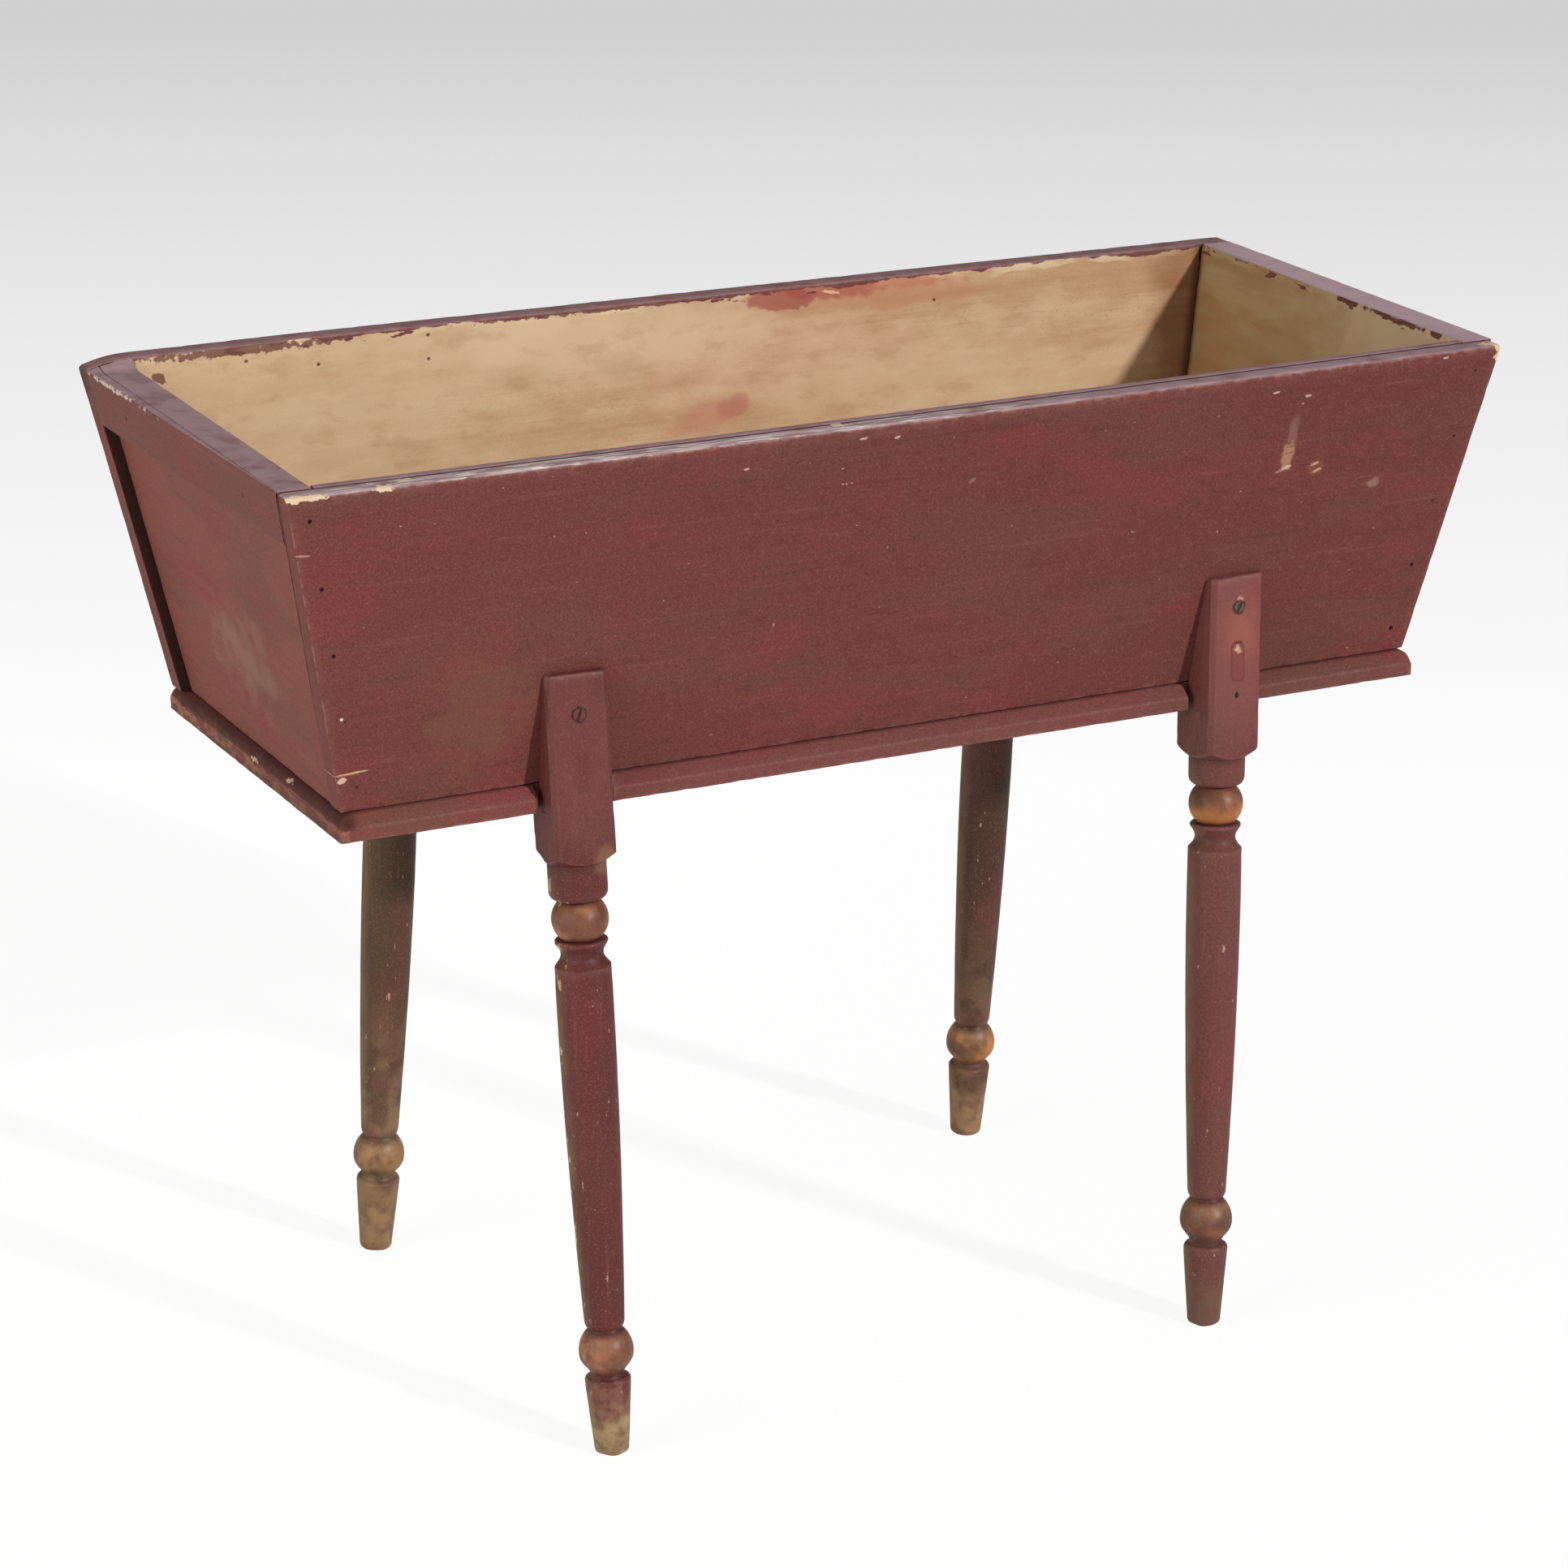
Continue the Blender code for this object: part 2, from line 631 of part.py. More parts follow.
def add_leg_screw(name, place, through):
    """Slotted screw through the tongue into the long board."""
    matrix = tongue_pin(place, SCREW_BELOW_TOP, SCREW_SINK)
    screw = add_turned(name + "_screw", screw_outline(0), SCREW_STEPS, parts, matrix)
    slot_matrix = matrix @ Matrix.Rotation(math.radians(SLOT_TURN), 4, "Z")
    add_cut(screw, add_solid(name + "_slot", cube_shape(slot_corner), cutters, slot_matrix))
    hole = add_turned(name + "_screw_hole", screw_outline(CLEARANCE), SCREW_STEPS, cutters, matrix)
    for piece in through:
        add_cut(piece, hole)


def plug_shape(allowance, top):
    """Long plug with rounded corners, outer face at the given height; the allowance makes its pocket."""
    def corner(sx, sy, sz):
        half_width = PLUG_WIDTH / 2 + allowance
        half_height = PLUG_HEIGHT / 2 + allowance
        return Vector((sx * half_width, sy * half_height, top if sz > 0 else -PLUG_DEPTH - allowance))
    shape = cube_shape(corner)
    bmesh.ops.bevel(shape, geom=upright_edges(shape), offset=PLUG_ROUND, segments=COVE_STEPS, profile=0.5,
                    affect="EDGES")
    return shape


def add_plug(name, place, leg):
    """Plug let into the tongue below the screw."""
    matrix = tongue_pin(place, PLUG_BELOW_TOP, PLUG_SINK)
    add_solid(name + "_plug", plug_shape(0, 0), parts, matrix)
    add_cut(leg, add_solid(name + "_pocket", plug_shape(CLEARANCE, CUTTER_REACH), cutters, matrix))


def add_nail(name, head, direction, length, through):
    """One nail and its hole in the pieces that it joins."""
    matrix = pin_matrix(head, direction, NAIL_SINK)
    add_turned(name, nail_outline(length, 0), NAIL_STEPS, parts, matrix)
    hole = add_turned(name + "_hole", nail_outline(length, CLEARANCE), NAIL_STEPS, cutters, matrix)
    for piece in through:
        add_cut(piece, hole)


for leg_name, leg_place in LEG_PLACES.items():
    leg_piece = add_leg(leg_name, leg_place)
    add_cut(bottom_board, add_notch(leg_name + "_notch", leg_place))
    add_leg_screw(leg_name, leg_place, [leg_piece, long_boards[leg_place["side"]]])
    add_plug(leg_name, leg_place, leg_piece)

side_words = {-1: "front", 1: "back"}
end_words = {-1: "left", 1: "right"}

# Nails through the long boards into the edges of the end panels
for side, side_word in side_words.items():
    for end, end_word in end_words.items():
        for count in range(SIDE_NAIL_COUNT):
            z = HEIGHT - SIDE_NAIL_FIRST - SIDE_NAIL_PITCH * count
            y = side * side_y(z)
            head = (panel_x(end, y, z, PANEL_ACROSS * SIDE_NAIL_SHARE[end]), y, z)
            name = side_word + "_" + end_word + "_nail_" + str(count + 1)
            joined = [long_boards[side], end_panels[end]]
            add_nail(name, head, (0, -side, SIDE_SLOPE), SIDE_NAIL_LENGTH, joined)

# Nails up through the bottom board into the lower edges of the walls
for side, side_word in side_words.items():
    for end, end_word in end_words.items():
        y = side * (BOTTOM_WIDTH / 2 - BOARD_ACROSS / 2)
        head = (end * FLOOR_NAIL_SPREAD, y, FLOOR_UNDER)
        name = "floor_" + side_word + "_" + end_word + "_nail"
        add_nail(name, head, (0, 0, 1), FLOOR_NAIL_LENGTH, [bottom_board, long_boards[side]])
        y = side * FLOOR_NAIL_END_SPREAD
        head = (panel_x(end, y, FLOOR_TOP, PANEL_ACROSS / 2), y, FLOOR_UNDER)
        name = "floor_end_" + end_word + "_" + side_word + "_nail"
        add_nail(name, head, (0, 0, 1), FLOOR_NAIL_LENGTH, [bottom_board, end_panels[end]])

# Nails through the rail into the left panel, and through the strip into the front board
for side, side_word in side_words.items():
    z = HEIGHT - RAIL_HEIGHT / 2
    head = (-end_x(z), side * RAIL_NAIL_SPREAD, z)
    joined = [left_end_rail, end_panels[-1]]
    add_nail("rail_" + side_word + "_nail", head, (1, 0, END_SLOPE), RAIL_NAIL_LENGTH, joined)
for end, end_word in end_words.items():
    z = HEIGHT - STRIP_HEIGHT / 2
    y = -(side_y(z) - BOARD_ACROSS - CLEARANCE - STRIP_ACROSS)
    head = (end * STRIP_NAIL_SPREAD, y, z)
    joined = [front_rim_strip, long_boards[-1]]
    add_nail("strip_" + end_word + "_nail", head, (0, -1, -SIDE_SLOPE), STRIP_NAIL_LENGTH, joined)


# Materials: one for each piece, by what it is made of
def add_material(name, colour, roughness, metallic):
    """A plain Principled material."""
    material = bpy.data.materials.new(name)
    material.use_nodes = True
    shader = material.node_tree.nodes["Principled BSDF"]
    shader.inputs["Base Color"].default_value = (*colour, 1.0)
    shader.inputs["Roughness"].default_value = roughness
    shader.inputs["Metallic"].default_value = metallic
    return material


FINISHES = {
    "paint": {"colour": (0.17, 0.055, 0.050), "roughness": 0.5, "metallic": 0.0},
    "filler": {"colour": (0.35, 0.14, 0.09), "roughness": 0.6, "metallic": 0.0},
    "steel": {"colour": (0.22, 0.21, 0.20), "roughness": 0.45, "metallic": 1.0},
}
for item in parts.objects:
    if item.type != "MESH":
        continue
    finish = "paint"
    if item.name.endswith(("_screw", "_nail")) or "_nail_" in item.name:
        finish = "steel"
    elif item.name.endswith("_plug"):
        finish = "filler"
    item.data.materials.append(add_material(item.name, **FINISHES[finish]))
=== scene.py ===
import math
from functools import partial

import bmesh
import bpy
from mathutils import Matrix, Vector, noise


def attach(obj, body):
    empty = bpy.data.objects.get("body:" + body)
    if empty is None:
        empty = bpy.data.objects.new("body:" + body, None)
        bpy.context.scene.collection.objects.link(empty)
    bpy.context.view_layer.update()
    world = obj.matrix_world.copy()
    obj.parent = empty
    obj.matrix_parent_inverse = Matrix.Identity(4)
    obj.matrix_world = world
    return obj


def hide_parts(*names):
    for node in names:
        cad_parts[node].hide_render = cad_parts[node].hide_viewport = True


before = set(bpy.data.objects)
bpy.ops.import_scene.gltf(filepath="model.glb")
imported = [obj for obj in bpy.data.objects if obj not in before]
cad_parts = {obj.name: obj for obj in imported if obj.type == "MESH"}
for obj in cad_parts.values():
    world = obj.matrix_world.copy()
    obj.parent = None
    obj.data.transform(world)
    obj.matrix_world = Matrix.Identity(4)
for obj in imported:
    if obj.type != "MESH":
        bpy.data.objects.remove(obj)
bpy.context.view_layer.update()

# Front and back boards: one wide pine board each, nailed over the edges of the ends. They are painted dark
# red outside and over the rim and bare inside, where the paint laps down a little with a ragged edge.
# The front board bows out at its upper edge, and the back board's upper edge is crowned.
HEIGHT = 0.724
FLOOR_TOP = 0.4894
MIDDLE_X = -0.002
TOP_LENGTH = 0.947
TOP_WIDTH = 0.3914
BOTTOM_LENGTH = 0.849
BOTTOM_WIDTH = 0.315
BOARD_THICKNESS = 0.018
CLEARANCE = 0.0003
FRONT_BOW = 0.0035
BACK_CROWN = 0.0060
CROWN_RISE_LENGTH = 0.036
CROWN_FALL_FROM = -0.300
BOARD_END_ROUND = 0.0012
BOARD_CORNER_ROUND = 0.0030
BOARD_SECTION_SPACING = 0.0060
BOARD_SPACING = 0.0055
BOARD_DENT = 0.00025
BOARD_CHIP = 0.0006
WELD = 0.00002
END_FACE_SHARE = 0.88
EDGE_FULL_ANGLE = math.radians(20)
EDGE_SPREAD = 0.35
SHARP_ANGLE = math.radians(38)

TROUGH_DEPTH = HEIGHT - FLOOR_TOP
SIDE_SLOPE = (TOP_WIDTH - BOTTOM_WIDTH) / 2 / TROUGH_DEPTH
END_SLOPE = (TOP_LENGTH - BOTTOM_LENGTH) / 2 / TROUGH_DEPTH
BOARD_ACROSS = BOARD_THICKNESS * math.hypot(1, SIDE_SLOPE)


def side_y(z):
    """Outer face of a long board at height z, as a distance from the middle."""
    return BOTTOM_WIDTH / 2 + SIDE_SLOPE * (z - FLOOR_TOP)


def end_x(z):
    """End of the long boards at height z, as a distance from the middle of the trough."""
    return BOTTOM_LENGTH / 2 + END_SLOPE * (z - FLOOR_TOP)


def steps_between(start, end, spacing):
    """Points on a straight line, without its ends, about the given spacing apart."""
    count = max(1, round((end - start).length / spacing))
    return [start.lerp(end, index / count) for index in range(1, count)]


def rounded_section(corners, radii, spacing, arc_steps=4):
    """Outline of a board's section in two dimensions: straight sides in even steps and rounded corners."""
    outline = []
    count = len(corners)
    arcs = []
    for index, corner in enumerate(corners):
        here = Vector(corner)
        before = (Vector(corners[index - 1]) - here).normalized()
        after = (Vector(corners[(index + 1) % count]) - here).normalized()
        half_angle = before.angle(after) / 2
        middle = here + (before + after).normalized() * radii[index] / math.sin(half_angle)
        first = (here + before * radii[index] / math.tan(half_angle) - middle).normalized()
        last = (here + after * radii[index] / math.tan(half_angle) - middle).normalized()
        spokes = [first.slerp(last, step / arc_steps) for step in range(arc_steps + 1)]
        arcs.append([middle + spoke * radii[index] for spoke in spokes])
    for index, points in enumerate(arcs):
        outline += points
        outline += steps_between(points[-1], arcs[(index + 1) % count][0], spacing)
    return outline


def inset_section(outline, distance):
    """The same outline moved in by a distance, for the rounding at the end of a board."""
    count = len(outline)
    area = sum(outline[i - 1].x * outline[i].y - outline[i].x * outline[i - 1].y for i in range(count))
    turn = 1 if area > 0 else -1
    moved = []
    for index, point in enumerate(outline):
        along = (outline[(index + 1) % count] - outline[index - 1]).normalized()
        moved.append(point + Vector((-along.y, along.x)) * turn * distance)
    return moved


def end_stations(length, rounding, spacing, arc_steps=4):
    """Places along a board as (side, distance from that end, inset), rounded at both ends."""
    stations = []
    for step in range(arc_steps, 0, -1):
        angle = math.pi / 2 * step / arc_steps
        stations.append((-1, rounding * (1 - math.sin(angle)), rounding * (1 - math.cos(angle))))
    count = round(length / spacing)
    for index in range(count + 1):
        share = index / count
        side = -1 if share < 0.5 else 1
        distance = rounding + (length - rounding * 2) * (share if side < 0 else 1 - share)
        stations.append((side, distance, 0))
    for side, distance, inset in reversed(stations[:arc_steps]):
        stations.append((1, distance, inset))
    return stations


def loft(rings):
    """A closed shape from rings of points, each joined to the next, with a flat face on both ends."""
    shape = bmesh.new()
    rows = [[shape.verts.new(point) for point in ring] for ring in rings]
    count = len(rows[0])
    for row, following in zip(rows, rows[1:]):
        for index in range(count):
            after = (index + 1) % count
            shape.faces.new((row[index], row[after], following[after], following[index]))
    ends = []
    for row in (rows[0], rows[-1]):
        middle = sum((vert.co for vert in row), Vector()) / count
        inner = [shape.verts.new(middle + (vert.co - middle) * END_FACE_SHARE) for vert in row]
        for index in range(count):
            after = (index + 1) % count
            shape.faces.new((row[index], row[after], inner[after], inner[index]))
        ends.append(shape.faces.new(inner))
    bmesh.ops.triangulate(shape, faces=ends, ngon_method="BEAUTY")
    bmesh.ops.remove_doubles(shape, verts=shape.verts, dist=WELD)
    bmesh.ops.recalc_face_normals(shape, faces=shape.faces)
    return shape


def edge_shares(shape, sign):
    """How much each vertex lies on an outer edge, or in a groove, from 0 to 1, spread a little around."""
    shares = []
    for vert in shape.verts:
        joints = [edge for edge in vert.link_edges if len(edge.link_faces) == 2]
        sharpest = max(edge.calc_face_angle_signed(0) * sign for edge in joints)
        shares.append(min(1, max(0, sharpest) / EDGE_FULL_ANGLE))
    spread = []
    for vert in shape.verts:
        near = [shares[edge.other_vert(vert).index] for edge in vert.link_edges]
        spread.append(max(shares[vert.index], EDGE_SPREAD * max(near)))
    return spread


def weather(shape, dent, chip, dent_scale=28, chip_scale=95):
    """Sink the surface a little by noise, more along its edges, and keep where edges and grooves are."""
    shape.normal_update()
    shape.verts.index_update()
    groove_layer = shape.verts.layers.float.new("groove")
    edge_layer = shape.verts.layers.float.new("edge")
    shares = edge_shares(shape, 1)
    grooves = edge_shares(shape, -1)
    moves = []
    for vert in shape.verts:
        hollow = 0.5 + 0.5 * noise.noise(vert.co * dent_scale)
        bite = max(0, noise.noise(vert.co * chip_scale) - 0.05) * shares[vert.index]
        moves.append(vert.normal * -(dent * hollow + chip * bite))
        vert[edge_layer] = shares[vert.index]
        vert[groove_layer] = grooves[vert.index]
    for vert, move in zip(shape.verts, moves):
        vert.co += move


def mark_points(shape, name, value_at):
    """Keep a value from -1 to 1 on each point, worked out from its place and the way it faces."""
    shape.normal_update()
    layer = shape.verts.layers.float.new(name)
    for vert in shape.verts:
        vert[layer] = max(-1, min(1, value_at(vert.co, vert.normal)))


def add_object(name, data):
    """A new object in the scene."""
    item = bpy.data.objects.new(name, data)
    bpy.context.scene.collection.objects.link(item)
    return item


def add_piece(name, shape, material, slot, *nodes):
    """Make a shape a piece of the model that stands for the given nodes."""
    mesh = bpy.data.meshes.new(name)
    shape.to_mesh(mesh)
    shape.free()
    mesh.shade_smooth()
    mesh.set_sharp_from_angle(angle=SHARP_ANGLE)
    mesh.materials.append(material)
    item = add_object(name, mesh)
    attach(item, "root")
    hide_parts(*nodes)


def srgb(red, green, blue):
    """A colour from the usual 0 to 255 values."""
    def linear(value):
        share = value / 255
        return share / 12.92 if share <= 0.04045 else ((share + 0.055) / 1.055) ** 2.4
    return (linear(red), linear(green), linear(blue), 1.0)


def feed(socket, value):
    """Link an output to a socket, or set the socket to a plain value."""
    if isinstance(value, bpy.types.NodeSocket):
        socket.id_data.links.new(value, socket)
    else:
        socket.default_value = value


def node_maker(tree):
    """A short call that adds a node to a tree, with its settings and its inputs by name."""
    def make(kind, settings=None, **inputs):
        node = tree.nodes.new(kind)
        for setting, value in (settings or {}).items():
            setattr(node, setting, value)
        for key, value in inputs.items():
            name = key.replace("_", " ")
            feed(next(item for item in node.inputs if item.name == name and item.enabled), value)
        return node
    return make


class Finish:
    """A material in the making: each call adds what it needs and gives back its output."""

    def __init__(self, name):
        self.material = bpy.data.materials.new(name)
        self.material.use_nodes = True
        self.nodes = self.material.node_tree.nodes
        self.make = node_maker(self.material.node_tree)
        self.shader = self.nodes["Principled BSDF"]
        coordinates = self.make("ShaderNodeTexCoord")
        self.place = coordinates.outputs["Object"]
        self.facing = coordinates.outputs["Normal"]

    def attribute(self, name):
        """A value kept on the mesh."""
        return self.make("ShaderNodeAttribute", {"attribute_name": name}).outputs["Fac"]

    def axis_of(self, vector, axis):
        """One part of a vector."""
        return self.make("ShaderNodeSeparateXYZ", Vector=vector).outputs[axis]

    def math(self, operation, first, second=0.5):
        """One sum on two values."""
        node = self.make("ShaderNodeMath", {"operation": operation})
        feed(node.inputs[0], first)
        feed(node.inputs[1], second)
        return node.outputs[0]

    def times(self, first, second):
        """Two values multiplied."""
        return self.math("MULTIPLY", first, second)

    def noise(self, scale, detail=3, stretch=(1, 1, 1), shift=(0, 0, 0), distortion=0, roughness=0.5):
        """Noise, about 0 to 1 round 0.5, on the place scaled along each axis and shifted."""
        where = self.make("ShaderNodeMapping", Vector=self.place, Scale=stretch, Location=shift)
        node = self.make("ShaderNodeTexNoise", Vector=where.outputs["Vector"], Scale=scale, Detail=detail,
                         Distortion=distortion, Roughness=roughness)
        return node.outputs["Fac"]

    def wander(self, amount, *form):
        """Noise round 0 of the given amount."""
        return self.times(self.math("SUBTRACT", self.noise(*form)), amount)

    def band(self, value, low, high, start=0.0, end=1.0):
        """A smooth step: start up to low, end from high on."""
        node = self.make("ShaderNodeMapRange", {"interpolation_type": "SMOOTHSTEP"}, Value=value,
                         From_Min=low, From_Max=high, To_Min=start, To_Max=end)
        return node.outputs["Result"]

    def ramp(self, value, *stops):
        """Colours along a value, as (position, colour)."""
        node = self.make("ShaderNodeValToRGB", Fac=value)
        elements = node.color_ramp.elements
        while len(elements) < len(stops):
            elements.new(1.0)
        for element, (position, colour) in zip(elements, stops):
            element.position = position
            element.color = colour
        return node.outputs["Color"]

    def mix(self, share, first, second):
        """Two colours mixed by a share."""
        node = self.make("ShaderNodeMix", {"data_type": "RGBA"}, Factor=share, A=first, B=second)
        return next(item for item in node.outputs if item.enabled)

    def tint(self, colour, tone, share, value, low, high):
        """A colour turned to a tone by up to a share, as a value goes from low to high."""
        return self.mix(self.band(value, low, high, 0, share), colour, tone)

    def mark(self, middle, size, tilt=0, ragged=0.7, scale=220, soft=0.35):
        """1 inside an oval of the given half sizes round a place, tilted in its plane, with a ragged edge."""
        oval = self.make("ShaderNodeMapping", {"vector_type": "TEXTURE"}, Vector=self.place, Location=middle,
                         Rotation=(0, math.radians(tilt), 0), Scale=size)
        length = self.make("ShaderNodeVectorMath", {"operation": "LENGTH"}, Vector=oval.outputs["Vector"])
        reach = self.math("ADD", length.outputs["Value"], self.wander(ragged * 2, scale, 4))
        return self.band(reach, 1 + soft / 2, 1 - soft / 2)

    def stain(self, colour, tone, share, *form):
        """A colour with an oval mark of another tone on it."""
        return self.mix(self.times(self.mark(*form), share), colour, tone)

    def done(self, colour, roughness, height, depth, gloss=0.12):
        """Give the shader its colour, roughness and relief."""
        bump = self.make("ShaderNodeBump", Strength=1.0, Distance=depth, Height=height)
        inputs = self.shader.inputs
        feed(inputs["Base Color"], colour)
        feed(inputs["Specular IOR Level"], gloss)
        feed(inputs["Roughness"], roughness)
        feed(inputs["Normal"], bump.outputs["Normal"])
        return self.material


GRAIN_X = (0.05, 1, 1)
GRAIN_Y = (1, 0.05, 1)
GRAIN_Z = (1, 1, 0.05)
CLOUD_STRETCH = 0.45
PAINT = srgb(109, 59, 55)
PAINT_OLIVE = srgb(104, 69, 57)
PAINT_RED = srgb(128, 56, 57)
PAINT_DARK = srgb(76, 41, 37)
PAINT_LIGHT = srgb(146, 94, 86)
PAINT_WORN = srgb(172, 126, 114)
PAINT_BLOOM_AND_SHEEN = srgb(174, 147, 152)
PINE_DARK = srgb(183, 143, 105)
PINE = srgb(198, 162, 125)
PINE_LIGHT = srgb(212, 181, 145)
BARE_EDGE = srgb(224, 200, 164)
GROOVE_DARK = srgb(52, 31, 26)
CORNER_SHADE = srgb(92, 60, 36)
LAP_DEPTH = 0.020
PAINT_RELIEF = 0.0005
FINE_RELIEF = 0.0002


def old_paint(finish, grain, bloom_and_sheen=0.75, base=PAINT, worn=0.25, clouds=1.0):
    """Colour of the dark red paint: soft clouds, faint streaks, light worn arrises, a grey bloom and painted
    sheen on top.
    """
    soft = [max(CLOUD_STRETCH, value) for value in grain]
    olive, red = finish.noise(16, 4, soft), finish.noise(22, 4, soft, (5.2, 1.3, 2.1))
    paint = finish.tint(base, PAINT_OLIVE, 0.6 * clouds, olive, 0.42, 0.68)
    paint = finish.tint(paint, PAINT_RED, 0.55 * clouds, red, 0.46, 0.70)
    speck = finish.noise(700, 2)
    paint = finish.tint(paint, PAINT_LIGHT, 0.40, speck, 0.50, 0.78)
    paint = finish.tint(paint, PAINT_DARK, 0.50, speck, 0.50, 0.22)
    streak = finish.noise(240, 4, grain)
    paint = finish.tint(paint, PAINT_LIGHT, 0.20, streak, 0.58, 0.78)
    paint = finish.tint(paint, PAINT_DARK, 0.25, streak, 0.42, 0.24)
    arris = finish.math("POWER", finish.attribute("edge"), 2.0)
    rubbed = finish.times(arris, finish.band(finish.noise(160, 5), 0.42, 0.60, 0.1, worn))
    paint = finish.mix(rubbed, paint, PAINT_WORN)
    # Darker in grooves and inner corners
    paint = finish.mix(finish.times(finish.attribute("groove"), 0.4), paint, GROOVE_DARK)
    # A grey bloom on upward faces, partly a painted sheen of the sky
    upward = finish.math("ADD", finish.axis_of(finish.facing, 2), finish.wander(0.7, 150, 4))
    patchy = finish.band(finish.noise(60, 5), 0.25, 0.60, 0.5, 1)
    dust_and_sheen = finish.times(finish.band(upward, 0.30, 0.80, 0, bloom_and_sheen), patchy)
    return finish.mix(dust_and_sheen, paint, PAINT_BLOOM_AND_SHEEN), streak


def bare_pine(finish, grain):
    """Colour of old bare pine: growth lines along the grain, faint stains, paler below the paint's lap."""
    lines = finish.noise(46, 4, grain, distortion=0.6)
    wood = finish.ramp(lines, (0.30, PINE_DARK), (0.50, PINE), (0.74, PINE_LIGHT))
    fibre = finish.noise(420, 3, grain)
    wood = finish.tint(wood, srgb(172, 132, 96), 0.40, fibre, 0.54, 0.74)
    wood = finish.tint(wood, srgb(150, 114, 82), 0.40, finish.noise(520, 2), 0.46, 0.22)
    soft = [max(CLOUD_STRETCH / 2, value) for value in grain]
    mottle = finish.noise(60, 5, soft, (1.9, 0.6, 2.4))
    wood = finish.tint(wood, srgb(178, 140, 102), 0.30, mottle, 0.46, 0.66)
    wood = finish.tint(wood, srgb(216, 186, 150), 0.25, mottle, 0.44, 0.26)
    broad = finish.noise(9, 4, shift=(3.1, 1.7, 0.4))
    wood = finish.tint(wood, srgb(190, 150, 118), 0.40, broad, 0.50, 0.72)
    depth = finish.math("ADD", finish.attribute("bare"), finish.wander(0.7, 90, 4, (0.4, 0.4, 1)))
    often = finish.band(finish.noise(18, 3, shift=(0.4, 2.6, 1.2)), 0.40, 0.56)
    fringe = finish.times(finish.band(depth, 0.34, 0.24, 0, 0.8), often)
    return finish.mix(fringe, wood, BARE_EDGE), fibre


def lap_share(finish, thin):
    """Where the wood is bare: below a wandering lap of paint, narrower the more thin is, and its remnants."""
    depth = finish.attribute("bare")
    line = finish.math("ADD", depth, finish.wander(0.5, 16, 3))
    line = finish.math("ADD", line, finish.wander(0.5, 140, 4, (0.5, 0.5, 1)))
    spots = finish.band(finish.noise(150, 4, (0.3, 0.3, 1), (1.3, 2.2, 3.1)), 0.60, 0.63)
    remnant = finish.times(spots, finish.band(depth, 0.42, 0.26))
    below_lap = finish.band(line, 0.10 - thin, 0.15 - thin)
    return finish.times(below_lap, finish.band(remnant, 0.2, 0.8, 1, 0))


def chip_share(finish, reach):
    """Where the paint is chipped off an edge."""
    bite = finish.times(finish.attribute("edge"), finish.noise(130, 5, roughness=0.7))
    often = finish.band(finish.noise(14, 2, shift=(0.7, 0.2, 0.9)), 0.40, 0.60, 0.82, 1.0)
    return finish.band(finish.times(bite, often), reach - 0.02, reach + 0.02)


def worn_paint(finish, paint, streak, wood, fibre, chips=0.66, thin=0.0):
    """Put paint over bare pine, bare inside and chipped along the edges, and close the material."""
    bare = lap_share(finish, thin)
    chip = chip_share(finish, chips)
    colour = finish.mix(chip, finish.mix(bare, paint, wood), BARE_EDGE)
    gone = finish.math("MAXIMUM", bare, chip)
    relief = finish.math("ADD", finish.times(streak, 0.15), finish.times(fibre, 0.10))
    height = finish.math("SUBTRACT", relief, finish.times(gone, 0.3))
    return finish.done(colour, finish.band(gone, 0, 1, 0.55, 0.80), height, PAINT_RELIEF)


def crown_rise(x):
    """How far the back board's upper edge stands up at x."""
    reach = end_x(HEIGHT)
    rise = min(1, max(0, (x + reach) / CROWN_RISE_LENGTH))
    fall = min(1, max(0, (reach - x) / (reach - CROWN_FALL_FROM)))
    return BACK_CROWN * (1 - (1 - rise) ** 2) * fall


def front_bow(x, z):
    """How far the front board stands out between its ends, most at its upper edge."""
    along = x / end_x(z)
    return FRONT_BOW * (1 - along * along) * max(0, (z - FLOOR_TOP) / TROUGH_DEPTH)


def sweep(section, length, rounding, spacing, point_at):
    """A board from its section, swept from end to end, where point_at gives the place of each point."""
    rings = []
    for end, distance, inset in end_stations(length, rounding, spacing):
        rings.append([point_at(end, distance, inset, *point) for point in inset_section(section, inset)])
    return loft(rings)


def long_board_shape(side, radii):
    """Front or back board, swept from left to right."""
    low = FLOOR_TOP + CLEARANCE
    corners = [(0, low), (0, HEIGHT), (BOARD_ACROSS, HEIGHT), (BOARD_ACROSS, low)]

    def point_at(end, distance, inset, depth, z):
        """A point of the board, its upper corners rounded, the front board bowed and the back one crowned."""
        share = (end_x(z) - BOARD_END_ROUND) / (end_x(HEIGHT) - BOARD_END_ROUND)
        x = end * (end_x(z) - distance if inset else (end_x(HEIGHT) - distance) * share)
        near_top = max(0, z - HEIGHT + BOARD_CORNER_ROUND)
        corner = BOARD_CORNER_ROUND - math.sqrt(BOARD_CORNER_ROUND ** 2 - near_top ** 2)
        x -= end * corner * max(0, 1 - distance / (BOARD_CORNER_ROUND * 4))
        out = side_y(z) - depth
        if side < 0:
            return Vector((MIDDLE_X + x, side * (out + front_bow(x, z)), z))
        rise = crown_rise(x) * (z - low) / (HEIGHT - low)
        return Vector((MIDDLE_X + x, side * (out + rise * SIDE_SLOPE), z + rise))

    section = rounded_section(corners, radii, BOARD_SECTION_SPACING)
    return sweep(section, TOP_LENGTH, BOARD_END_ROUND, BOARD_SPACING, point_at)


# A face counts as turned one way when the part of its normal that way is over FACES. PANEL_COVER is how much
# of a long board's end lies outside the panel's inner face.
FACES = 0.5
PANEL_COVER = 0.024


